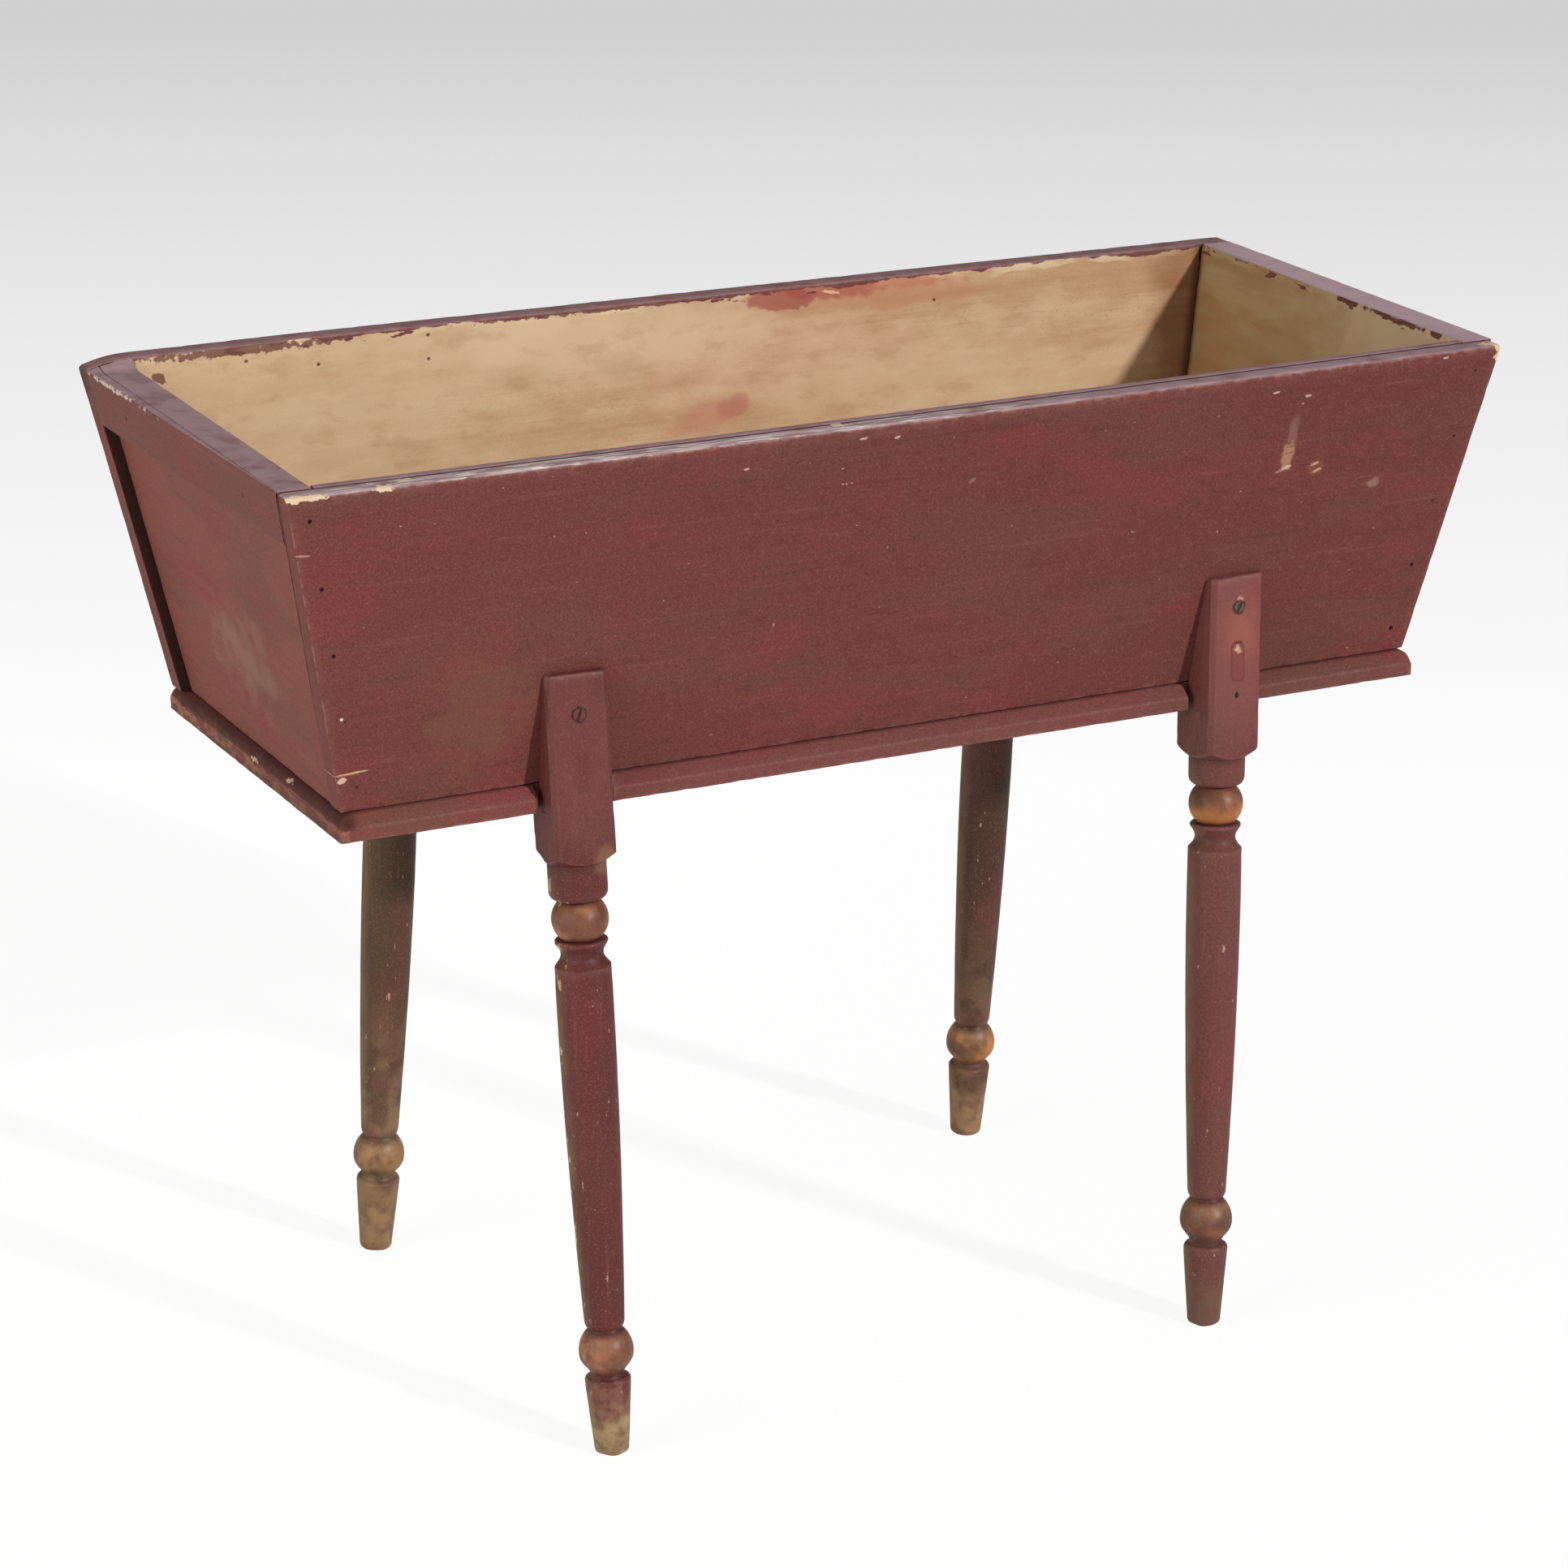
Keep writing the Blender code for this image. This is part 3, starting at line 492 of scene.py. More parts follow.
def inner_face(side):
    """How far a point of a long board's inner face lies below the rim's lap, or -1 where it is painted."""
    def value(place, normal):
        x = place.x - MIDDLE_X
        if normal.y * -side < FACES or end_x(place.z) - abs(x) < PANEL_COVER:
            return -1
        return (HEIGHT + (crown_rise(x) if side > 0 else 0) - place.z) / LAP_DEPTH
    return value


SEAM_REACH = 0.006
SEAM_DEPTH = 0.004
SHADE_START = 0.026
SHADE_REACH = 0.010


def seam_share(place, normal):
    """How near a point of the front board's rim is to the seam behind it."""
    if place.z < HEIGHT - SEAM_DEPTH:
        return 0
    seam = -(side_y(HEIGHT) - BOARD_ACROSS) - front_bow(place.x - MIDDLE_X, HEIGHT)
    return 1 - (seam - place.y) / SEAM_REACH


def corner_shade(place, normal):
    """Painted shade on the back board: in its corner with the right end, and on what stands past the left
    end.
    """
    if normal.y > -FACES:
        return 0
    x = place.x - MIDDLE_X
    to_end = end_x(place.z) - abs(x)
    if x < 0:
        return 1 if to_end < PANEL_COVER else 0
    return 1 - (to_end - SHADE_START) / SHADE_REACH


front_shape = long_board_shape(-1, (0.0012, 0.0036, 0.0012, 0.0012))
weather(front_shape, BOARD_DENT, BOARD_CHIP)
mark_points(front_shape, "bare", inner_face(-1))
mark_points(front_shape, "seam", seam_share)

MARK_REACH = 0.06


def board_mark(finish, side, colour, tone, share, x, z, width, height, *edge):
    """A colour with an oval mark on a long board's face at x and z, of the given half width and height."""
    return finish.stain(colour, tone, share, (x, side * side_y(z), z), (width, MARK_REACH, height), *edge)


finish = Finish("front_board_paint")
front_mark = partial(board_mark, finish, -1)
paint, streak = old_paint(finish, GRAIN_X, 0.80, worn=0.45, clouds=0.75)
paint = finish.tint(paint, srgb(196, 160, 146), 0.5, finish.noise(210, 3, (0.6, 1, 1)), 0.745, 0.765)
brushed = finish.mark((-0.19, -0.190, HEIGHT), (0.25, 0.03, 0.02), 0, 0.3, 20, 0.9)
brushed = finish.times(brushed, finish.band(finish.axis_of(finish.facing, 2), 0.30, 0.75))
broad = finish.band(finish.noise(170, 4, (0.12, 1, 1)), 0.44, 0.62, 0, 0.75)
fine = finish.band(finish.noise(420, 4, (0.10, 1, 1), (2.2, 0.4, 1.7)), 0.53, 0.61, 0, 0.85)
paint = finish.mix(finish.times(brushed, broad), paint, srgb(206, 186, 182))
paint = finish.mix(finish.times(brushed, fine), paint, srgb(232, 222, 216))
paint = finish.tint(paint, srgb(108, 60, 54), 0.7, finish.axis_of(finish.facing, 0), -0.55, -0.90)
# The long scratch with its foot, and the two small scrapes right of it
paint = front_mark(paint, srgb(150, 108, 98), 0.50, 0.2985, 0.6745, 0.0038, 0.0125, 3, 0.8, 120, 1.0)
paint = front_mark(paint, srgb(128, 80, 56), 0.55, 0.2968, 0.6590, 0.0060, 0.0120, 5, 0.7, 200, 0.7)
paint = front_mark(paint, srgb(178, 134, 104), 0.75, 0.2968, 0.6590, 0.0046, 0.0105, 5, 0.9, 240, 0.6)
for z in (0.6655, 0.6610):
    paint = front_mark(paint, srgb(124, 80, 62), 0.55, 0.2972, z, 0.0050, 0.0007, -6, 0.8, 260, 0.6)
paint = front_mark(paint, srgb(214, 176, 148), 0.80, 0.2962, 0.6497, 0.0044, 0.0014, -16, 0.7, 220, 0.6)
paint = front_mark(paint, srgb(168, 130, 122), 0.60, 0.2915, 0.6477, 0.0036, 0.0010, -16, 0.7, 220, 0.8)
paint = front_mark(paint, srgb(136, 86, 58), 0.60, 0.3225, 0.6470, 0.0064, 0.0050, 0, 0.7, 220, 0.7)
paint = front_mark(paint, srgb(116, 66, 54), 0.70, 0.3225, 0.6470, 0.0034, 0.0022, 0, 0.7, 220, 0.7)
for x, z in ((0.3213, 0.6497), (0.3238, 0.6445)):
    paint = front_mark(paint, srgb(202, 160, 136), 0.75, x, z, 0.0040, 0.0011, -14, 0.8, 260)
paint = front_mark(paint, srgb(168, 136, 120), 0.45, 0.3744, 0.6284, 0.0052, 0.0036, 0, 0.9, 160, 0.8)
paint = front_mark(paint, srgb(170, 130, 122), 0.35, 0.0366, 0.6730, 0.0030, 0.0016, -30, 0.7, 200)
# The pale cloud low on the left, the scrape under it and two specks near the end
paint = front_mark(paint, srgb(124, 92, 66), 0.24, -0.3289, 0.5517, 0.0320, 0.0360, 0, 1.2, 60, 0.9)
paint = front_mark(paint, srgb(208, 168, 132), 0.70, -0.4215, 0.5185, 0.0110, 0.0009, -3, 0.8, 220)
paint = front_mark(paint, srgb(222, 186, 156), 0.80, -0.4270, 0.5140, 0.0035, 0.0020, -20, 0.9, 220)
paint = front_mark(paint, srgb(226, 200, 190), 0.85, -0.4290, 0.5596, 0.0012, 0.0012, 0, 0.2, 300)
paint = front_mark(paint, srgb(196, 156, 142), 0.55, -0.4615, 0.6819, 0.0045, 0.0007, 5, 0.8, 220)
# Pale specks below the rim, the dark seam behind it and the bare chips along it
specks = ((0.4233, 0.7190), (0.3077, 0.7037), (0.2797, 0.7094),
          (-0.0263, 0.7133), (-0.0529, 0.7153), (-0.1412, 0.7037))
for x, z in specks:
    paint = front_mark(paint, srgb(214, 180, 168), 0.7, x, z, 0.0022, 0.0009, -8, 1.2, 300)
paint = finish.tint(paint, srgb(68, 30, 32), 0.9, finish.attribute("seam"), 0.25, 0.50)
rim_chips = (((-0.4640, -0.1950, 0.7226), (0.0170, 0.0046, 0.0022)),
             ((-0.4060, -0.1950, 0.7226), (0.0065, 0.0050, 0.0020)),
             ((0.4690, -0.1930, 0.7190), (0.0036, 0.0080, 0.0060)),
             ((0.4630, -0.1900, 0.7245), (0.0100, 0.0060, 0.0010)),
             ((-0.0675, -0.1850, 0.7240), (0.0040, 0.0050, 0.0030)),
             ((-0.3890, -0.1850, 0.7245), (0.0075, 0.0030, 0.0030)))
for middle, size in rim_chips:
    paint = finish.stain(paint, BARE_EDGE, 0.9, middle, size, 0, 1.3, 230, 0.25)
front_material = worn_paint(finish, paint, streak, *bare_pine(finish, GRAIN_X), 0.72)
add_piece("painted_front_board", front_shape, front_material, "board_wood", "front_board")

back_shape = long_board_shape(1, (0.0012, 0.0022, 0.0020, 0.0012))
weather(back_shape, BOARD_DENT, BOARD_CHIP)
mark_points(back_shape, "bare", inner_face(1))
mark_points(back_shape, "dirt", corner_shade)
finish = Finish("back_board_paint")
back_mark = partial(board_mark, finish, 1)
paint, streak = old_paint(finish, GRAIN_X, 0.45)
wood, fibre = bare_pine(finish, GRAIN_X)
# Paler wood at the left, in the middle and low at the right, with a pink cloud and a soft mottling
wood = back_mark(wood, srgb(212, 185, 148), 0.60, -0.360, 0.680, 0.240, 0.120, 0, 0.5, 12, 1.2)
wood = back_mark(wood, srgb(200, 146, 122), 0.36, 0.050, 0.680, 0.130, 0.036, 6, 0.8, 30, 1.2)
wood = back_mark(wood, srgb(226, 197, 163), 0.70, -0.070, 0.706, 0.150, 0.024, 3, 0.5, 30, 1.2)
wood = back_mark(wood, srgb(218, 187, 151), 0.60, 0.215, 0.645, 0.180, 0.028, 4, 0.5, 30, 1.2)
mottle = finish.noise(64, 5, (0.45, 1, 1), (2.7, 0.3, 1.1), roughness=0.6)
wood = finish.tint(wood, srgb(178, 138, 102), 0.38, mottle, 0.50, 0.68)
wood = finish.tint(wood, srgb(222, 192, 158), 0.30, mottle, 0.48, 0.30)
# The red patch at the rim with its pale nicks, faint greenish spots, the lower red patch and a painted shadow
# in the right corner
wood = back_mark(wood, srgb(196, 136, 104), 0.50, 0.150, 0.716, 0.090, 0.013, 4, 0.7, 50, 0.7)
wood = back_mark(wood, srgb(190, 112, 84), 0.60, 0.165, 0.7225, 0.055, 0.0050, 4, 0.6, 100, 0.8)
wood = back_mark(wood, srgb(174, 90, 78), 0.75, 0.115, 0.7215, 0.045, 0.0070, 5, 0.5, 120, 0.5)
wood = back_mark(wood, srgb(160, 80, 72), 0.75, 0.074, 0.7190, 0.030, 0.0095, 5, 0.35, 160, 0.25)
wood = back_mark(wood, srgb(224, 196, 156), 0.80, 0.118, 0.7195, 0.007, 0.0014, 12, 0.8, 220)
wood = back_mark(wood, srgb(226, 204, 162), 0.80, 0.080, 0.7278, 0.030, 0.0018, 0, 1.0, 160)
for x, z in ((-0.058, 0.682), (-0.145, 0.685)):
    wood = back_mark(wood, srgb(168, 142, 104), 0.24, x, z, 0.020, 0.010, 0, 0.8, 60, 1.2)
wood = back_mark(wood, srgb(190, 122, 104), 0.45, 0.008, 0.638, 0.034, 0.0105, -16, 0.7, 60, 0.7)
wood = back_mark(wood, srgb(172, 98, 88), 0.45, 0.031, 0.6435, 0.015, 0.0084, -14, 0.5, 80, 0.5)
# Painted shadow cast by the right end onto the back board
wood = back_mark(wood, srgb(132, 84, 48), 0.60, 0.430, 0.650, 0.036, 0.110, 0, 0.5, 40, 0.9)
# The paint's lap where it is wider, old nail holes, and painted shade in the right corner and past the left
# end
laps = ((-0.355, 0.7262, 0.075, 0.0032), (-0.050, 0.7262, 0.110, 0.0022), (-0.4215, 0.7135, 0.0045, 0.0034))
for x, z, width, height in laps:
    wood = back_mark(wood, srgb(108, 66, 60), 0.85, x, z, width, height, 0, 1.5, 170, 0.25)
for x, z in ((-0.213, 0.722), (-0.214, 0.705), (-0.355, 0.718), (-0.300, 0.710), (0.2055, 0.705)):
    wood = back_mark(wood, srgb(84, 52, 36), 0.85, x, z, 0.0015, 0.0013, 0, 0.3, 300)
# Painted shade in the right corner and on what stands past the left end
dirt = finish.band(finish.attribute("dirt"), 0, 1, 0, 0.9)
wood = finish.mix(dirt, wood, CORNER_SHADE)
paint = finish.mix(dirt, paint, srgb(46, 30, 24))
# Painted shadow under the rail at the back left
corner = (-0.4740, 0.190, 0.7150)
paint = finish.stain(paint, srgb(70, 54, 42), 0.65, corner, (0.004, 0.012, 0.012), 0, 0.8, 150, 0.8)
back_material = worn_paint(finish, paint, streak, wood, fibre)
add_piece("painted_back_board", back_shape, back_material, "board_wood", "back_board")

# End panels: thicker boards set between the long ones, leaning out like their ends. The left one is a
# little skewed and set in, the right one stands a little proud at the front.
PANEL_THICKNESS = 0.0255
SET_IN = {-1: (0.0006, 0.0090), 1: (-0.0040, 0.0)}
LIFT_REACH = 0.014
PANEL_ACROSS = PANEL_THICKNESS * math.hypot(1, END_SLOPE)
INNER_HALF_WIDTH = TOP_WIDTH / 2 - BOARD_ACROSS


PANEL_RADII = (0.0012, 0.0022, 0.0020, 0.0012)
PANEL_CHIP = 0.0005
CROSS_END_ROUND = 0.0008
CROSS_GRAIN = (1, 0.3, 1)
ENDS = ((-1, "left"), (1, "right"))


def set_in_at(side, y):
    """How far an end panel is set in from the ends of the long boards at depth y."""
    front, back = SET_IN[side]
    return front + (back - front) * (y + INNER_HALF_WIDTH) / (2 * INNER_HALF_WIDTH)


def panel_x(side, y, z, inward):
    """X of the plane that lies the given distance inside an end panel's outer face."""
    return MIDDLE_X + side * (end_x(z) - set_in_at(side, y) - inward)


def cross_board_shape(low, thickness_at, outer_x, radii, spacing):
    """A board across the trough between the long boards, lifted at the back to meet the crown."""
    corners = [(0, low), (0, HEIGHT), (PANEL_ACROSS, HEIGHT), (PANEL_ACROSS, low)]
    width = (side_y(HEIGHT) - BOARD_ACROSS - CLEARANCE) * 2

    def point_at(end, distance, inset, depth, z):
        """A point of the board, lifted near the back."""
        half = side_y(z) - BOARD_ACROSS - CLEARANCE
        y = end * (half - distance * half / (width / 2))
        x = outer_x(y, z, depth / PANEL_ACROSS * thickness_at(y))
        near_back = max(0, 1 - (half - y) / LIFT_REACH)
        lift = crown_rise(x - MIDDLE_X) * near_back ** 2 * (z - low) / (HEIGHT - low)
        return Vector((x, y, z + lift))

    return sweep(rounded_section(corners, radii, spacing), width, CROSS_END_ROUND, spacing, point_at)


def panel_bare(side, place, normal):
    """How far a point of an end panel's inner face lies below the rim's lap, or -1 where it is painted."""
    return -1 if normal.x * -side < FACES else (HEIGHT - place.z) / LAP_DEPTH


def panel_shade(side, place, normal):
    """How near a point of an end panel's inner face lies to the corner with a long board, for painted shade
    there.
    """
    if normal.x * -side < FACES:
        return 0
    return 1 - (side_y(place.z) - BOARD_ACROSS - abs(place.y)) / SHADE_REACH


for side, word in ENDS:
    shape = cross_board_shape(FLOOR_TOP + CLEARANCE, lambda y: PANEL_ACROSS, partial(panel_x, side),
                              PANEL_RADII, BOARD_SECTION_SPACING)
    weather(shape, BOARD_DENT, PANEL_CHIP)
    mark_points(shape, "bare", partial(panel_bare, side))
    mark_points(shape, "dirt", partial(panel_shade, side))
    finish = Finish(word + "_end_paint")
    paint, streak = old_paint(finish, GRAIN_Y, 0.80 if side < 0 else 1.0, srgb(124, 70, 62))
    # A pale cloud low on the left end, and the pale bloom and painted sheen along the top of the right one
    cloud = ((-0.436, -0.016, 0.562), (0.06, 0.048, 0.025))
    paint = finish.stain(paint, srgb(152, 124, 106), 0.32, *cloud, 0, 1.6, 55, 1.4)
    paint = finish.stain(paint, srgb(206, 177, 187), 0.60, (0.47, 0, 0.7265), (0.05, 0.26, 0.004), 0, 0.3, 60)
    # Duller wood than in the long boards, paler at the front of the right end, painted corner shade and laps
    # of paint
    wood, fibre = bare_pine(finish, GRAIN_Y)
    wood = finish.mix(0.7, wood, srgb(166, 138, 96))
    pale, warm = (finish.noise(34, 4, CROSS_GRAIN), finish.noise(40, 4, CROSS_GRAIN, (4.2, 1.1, 2.3)))
    wood = finish.tint(wood, srgb(192, 166, 126), 0.55, pale, 0.44, 0.62)
    wood = finish.tint(wood, srgb(172, 124, 80), 0.55, warm, 0.48, 0.66)
    pale_place = ((0.44, -0.125, 0.71), (0.08, 0.100, 0.045))
    wood = finish.stain(wood, srgb(212, 188, 156), 0.75, *pale_place, 0, 0.8, 40, 1.2)
    # Painted shade in the corner with the long boards
    wood = finish.tint(wood, CORNER_SHADE, 0.7, finish.attribute("dirt"), 0.3, 1)
    for y, half in ((-0.028, 0.014), (-0.092, 0.036), (-0.144, 0.008)):
        lap = ((0.448, y, 0.7225), (0.05, half, 0.0032))
        wood = finish.stain(wood, srgb(96, 48, 50), 0.9, *lap, 0, 0.8, 130, 0.25)
    material = worn_paint(finish, paint, streak, wood, fibre, thin=0.16)
    add_piece("painted_" + word + "_end", shape, material, "board_wood", word + "_end_panel")

# Rail over the top of the left end: a thin pine strip, tapered from back to front and painted like the
# boards. It is nailed on to fill the skewed end out to the long boards.
RAIL_HEIGHT = 0.0385
RAIL_EDGE_WORN = 0.0006
RAIL_RADII = (0.0008, 0.0016, 0.0006, 0.0006)
RAIL_SPACING = 0.0040
RAIL_DENT = 0.00004
RAIL_CHIP = 0.0001


def rail_x(y, z, inward):
    """X of the plane that lies the given distance inside the rail's outer face, worn at the upper edge."""
    return MIDDLE_X - min(end_x(z), end_x(HEIGHT) - RAIL_EDGE_WORN) + inward


shape = cross_board_shape(HEIGHT - RAIL_HEIGHT, lambda y: set_in_at(-1, y) - CLEARANCE, rail_x,
                          RAIL_RADII, RAIL_SPACING)
weather(shape, RAIL_DENT, RAIL_CHIP)
mark_points(shape, "bare", lambda place, normal: -1)
finish = Finish("rail_paint")
paint, streak = old_paint(finish, GRAIN_Y, base=srgb(110, 67, 61))
chipped = ((-0.4775, 0.125, 0.7228), (0.004, 0.055, 0.0015))
paint = finish.stain(paint, srgb(206, 188, 172), 0.8, *chipped, 0, 2.4, 170)
material = worn_paint(finish, paint, streak, *bare_pine(finish, GRAIN_Y))
add_piece("painted_left_rail", shape, material, "trim_wood", "left_end_rail")

# Strip inside the front rim: a narrow pine strip nailed to the front board between the ends, which leaves
# a dark seam along the rim.
STRIP_THICKNESS = 0.008
STRIP_HEIGHT = 0.018
STRIP_RADII = (0.0006, 0.0012, 0.0016, 0.0008)
STRIP_SPACING = 0.0030
STRIP_DENT = 0.0002
STRIP_CHIP = 0.0005
STRIP_ACROSS = STRIP_THICKNESS * math.hypot(1, SIDE_SLOPE)


def strip_shape():
    """The strip, swept from end to end along the bowed front board."""
    low = HEIGHT - STRIP_HEIGHT
    corners = [(0, low), (0, HEIGHT), (STRIP_ACROSS, HEIGHT), (STRIP_ACROSS, low)]
    length = TOP_LENGTH - PANEL_ACROSS * 2

    def point_at(end, distance, inset, depth, z):
        """A point of the strip, on the front board's inner face between the end panels."""
        y = -(side_y(z) - BOARD_ACROSS - CLEARANCE - depth)
        left = panel_x(-1, y, z, PANEL_ACROSS + CLEARANCE)
        right = panel_x(1, y, z, PANEL_ACROSS + CLEARANCE)
        x = left + (right - left) * (distance / length if end < 0 else 1 - distance / length)
        return Vector((x, y - front_bow(x - MIDDLE_X, z), z))

    section = rounded_section(corners, STRIP_RADII, STRIP_SPACING)
    return sweep(section, length, CROSS_END_ROUND, BOARD_SPACING, point_at)


def strip_bare(place, normal):
    """How far a point of the strip's inner face lies below the rim's lap, or -1 where it is painted."""
    return -1 if normal.y < FACES else (HEIGHT - place.z) / LAP_DEPTH


shape = strip_shape()
weather(shape, STRIP_DENT, STRIP_CHIP)
mark_points(shape, "bare", strip_bare)
finish = Finish("strip_paint")
paint, streak = old_paint(finish, GRAIN_X, 0.70, srgb(110, 70, 70))
material = worn_paint(finish, paint, streak, *bare_pine(finish, GRAIN_X))
add_piece("painted_front_strip", shape, material, "trim_wood", "front_rim_strip")

# Bottom board: one wide board nailed up under the walls, its upper edge bevelled and rounded over, its left
# end cut out of square, with a notch for each leg. It is painted, and bare inside and below.
FLOOR_THICKNESS = 0.0183
FLOOR_OVERHANG_SIDES = 0.011
FLOOR_OVERHANG_ENDS = 0.0040
FLOOR_LEFT_BACK_SHORT = 0.0045
FLOOR_TOP_ROUND = 0.009
FLOOR_BEVEL = 0.0080
FLOOR_BEVEL_ROUND = 0.0040
FLOOR_LOWER_ROUND = 0.0025
FLOOR_CORNER_ROUND = 0.006
FLOOR_SECTION_SPACING = 0.0080
FLOOR_HALF_STEPS = 60
FLOOR_CHIP = 0.0008
FLOOR_SHADE_INSIDE = 0.012
BARE_UNDER_WALLS = 0.005
FACES_UP = 0.2
FACES_DOWN = -0.9
NOTCH_SIDE_GAP = 0.0055
LEG_SQUARE = 0.0455
FLOOR_UNDER = FLOOR_TOP - FLOOR_THICKNESS
TONGUE_RISE = 0.100
TONGUE_TOP = FLOOR_UNDER + TONGUE_RISE
TONGUE_MIDDLE = FLOOR_UNDER + TONGUE_RISE / 2
LEG_LEAN = 0.0831
LEG_AXIS_INSIDE = 0.00297
LEG_AXIS_OUT = side_y(TONGUE_MIDDLE) - LEG_AXIS_INSIDE
# Ends of each leg's axis as shares of the bottom's length, its turn in degrees, how much longer its collar is
# and lower its screw and plug sit, and how much shorter its foot is
LEG_PLACES = {
    "front_left": {"side": -1, "top": -0.3033, "foot": -0.2914, "turn": -4, "drop": 0.006, "short": 0.002},
    "front_right": {"side": -1, "top": 0.3127, "foot": 0.2850, "turn": 4, "drop": 0, "short": -0.0029},
    "back_left": {"side": 1, "top": -0.2892, "foot": -0.3022, "turn": 0, "drop": 0, "short": -0.0014},
    "back_right": {"side": 1, "top": 0.3066, "foot": 0.3105, "turn": 0, "drop": 0, "short": -0.0026},
}


def leg_axis_point(place, z):
    """Point of a leg's axis at height z."""
    share = place["foot"] + (place["top"] - place["foot"]) * z / TONGUE_TOP
    y = place["side"] * (LEG_AXIS_OUT + LEG_LEAN * (TONGUE_MIDDLE - z))
    return Vector((MIDDLE_X + share * BOTTOM_LENGTH, y, z))


def floor_board_shape():
    """The bottom board, swept from left to right, its section cut back where a leg passes."""
    half_width = BOTTOM_WIDTH / 2 + FLOOR_OVERHANG_SIDES
    half_length = BOTTOM_LENGTH / 2 + FLOOR_OVERHANG_ENDS
    bevel_end = FLOOR_TOP - FLOOR_BEVEL
    corners = [(-half_width, FLOOR_UNDER), (-half_width, bevel_end), (-half_width + FLOOR_BEVEL, FLOOR_TOP),
               (half_width - FLOOR_BEVEL, FLOOR_TOP), (half_width, bevel_end), (half_width, FLOOR_UNDER)]
    round_over = [FLOOR_LOWER_ROUND, FLOOR_BEVEL_ROUND, FLOOR_BEVEL_ROUND]
    section = rounded_section(corners, round_over + round_over[::-1], FLOOR_SECTION_SPACING)
    notches = []
    for place in LEG_PLACES.values():
        middle = leg_axis_point(place, FLOOR_UNDER).x - MIDDLE_X
        reach = LEG_SQUARE / 2 + NOTCH_SIDE_GAP
        notches.append((middle - reach, middle + reach, place["side"]))
    steps = range(FLOOR_HALF_STEPS * 2 + 1)
    places = {round(-half_length + step * half_length / FLOOR_HALF_STEPS, 5) for step in steps}
    places |= {value for low, high, side in notches for value in (low, high)}
    rounding = [FLOOR_TOP_ROUND * (1 - math.sin(math.radians(angle))) for angle in range(0, 91, 15)]
    places |= {sign * (half_length - distance) for sign in (-1, 1) for distance in rounding}
    rings = []
    for x in sorted(places):
        cuts = []
        for nudge in (-WELD * 2, WELD * 2):
            cuts.append({side for low, high, side in notches if low < x + nudge < high})
        distance = half_length - abs(x)
        into_round = max(0, FLOOR_TOP_ROUND - distance)
        top_fall = FLOOR_TOP_ROUND - math.sqrt(max(0, FLOOR_TOP_ROUND ** 2 - into_round ** 2))
        corner = max(0, FLOOR_CORNER_ROUND - distance)
        side_fall = FLOOR_CORNER_ROUND - math.sqrt(FLOOR_CORNER_ROUND ** 2 - corner ** 2)
        for cut in [cuts[0]] if cuts[0] == cuts[1] else cuts:
            ring = []
            for y, z in section:
                share = (z - FLOOR_UNDER) / FLOOR_THICKNESS
                z -= top_fall * share
                limit = half_width - side_fall
                side = 1 if y > 0 else -1
                if side in cut:
                    limit = side_y(z)
                y = side * min(abs(y), limit)
                skew = FLOOR_LEFT_BACK_SHORT * (y + half_width) / (2 * half_width) * max(0, -x / half_length)
                ring.append(Vector((MIDDLE_X + x + skew, y, z)))
            rings.append(ring)
    return loft(rings)


def floor_bare(place, normal):
    """How bare the bottom board is: inside the trough and below."""
    if normal.z < FACES_DOWN:
        return 1
    from_side = side_y(FLOOR_TOP) - BOARD_ACROSS - abs(place.y)
    from_end = end_x(FLOOR_TOP) - PANEL_ACROSS - abs(place.x)
    return 1 if min(from_side, from_end) > -BARE_UNDER_WALLS and normal.z > FACES else -1


def floor_shade(place, normal):
    """Painted shade on top of the bottom board, where it stands out past the left end."""
    if normal.z < FACES_UP:
        return 0
    return (MIDDLE_X - place.x - end_x(FLOOR_TOP) + FLOOR_SHADE_INSIDE) / SHADE_REACH


shape = floor_board_shape()
weather(shape, BOARD_DENT, FLOOR_CHIP)
mark_points(shape, "bare", floor_bare)
mark_points(shape, "dirt", floor_shade)
finish = Finish("bottom_paint")
paint, streak = old_paint(finish, GRAIN_X, 0.0, srgb(116, 67, 62), worn=0.3)
raw = finish.band(finish.axis_of(finish.facing, 0), -0.5, -0.85)
raw = finish.times(raw, finish.band(finish.noise(150, 5, (1, 0.4, 1)), 0.46, 0.62, 0, 0.6))
raw = finish.times(raw, finish.band(finish.axis_of(finish.place, 1), -0.10, 0.12, 0.35, 1))
paint = finish.mix(raw, paint, srgb(164, 118, 84))
# Painted shade on the ledge past the left end
paint = finish.tint(paint, srgb(58, 34, 30), 0.75, finish.attribute("dirt"), 0, 1)
for y, z in ((-0.005, 0.4826), (-0.067, 0.4862)):
    paint = finish.stain(paint, BARE_EDGE, 0.6, (-0.4280, y, z), (0.0035, 0.0055, 0.0016), 0, 1.6, 260)
wood, fibre = bare_pine(finish, GRAIN_X)
wood = finish.tint(wood, srgb(118, 92, 68), 0.6, finish.axis_of(finish.facing, 2), -0.5, -0.9)
material = worn_paint(finish, paint, streak, wood, fibre, 0.74)
add_piece("painted_bottom_board", shape, material, "bottom_wood", "bottom_board")

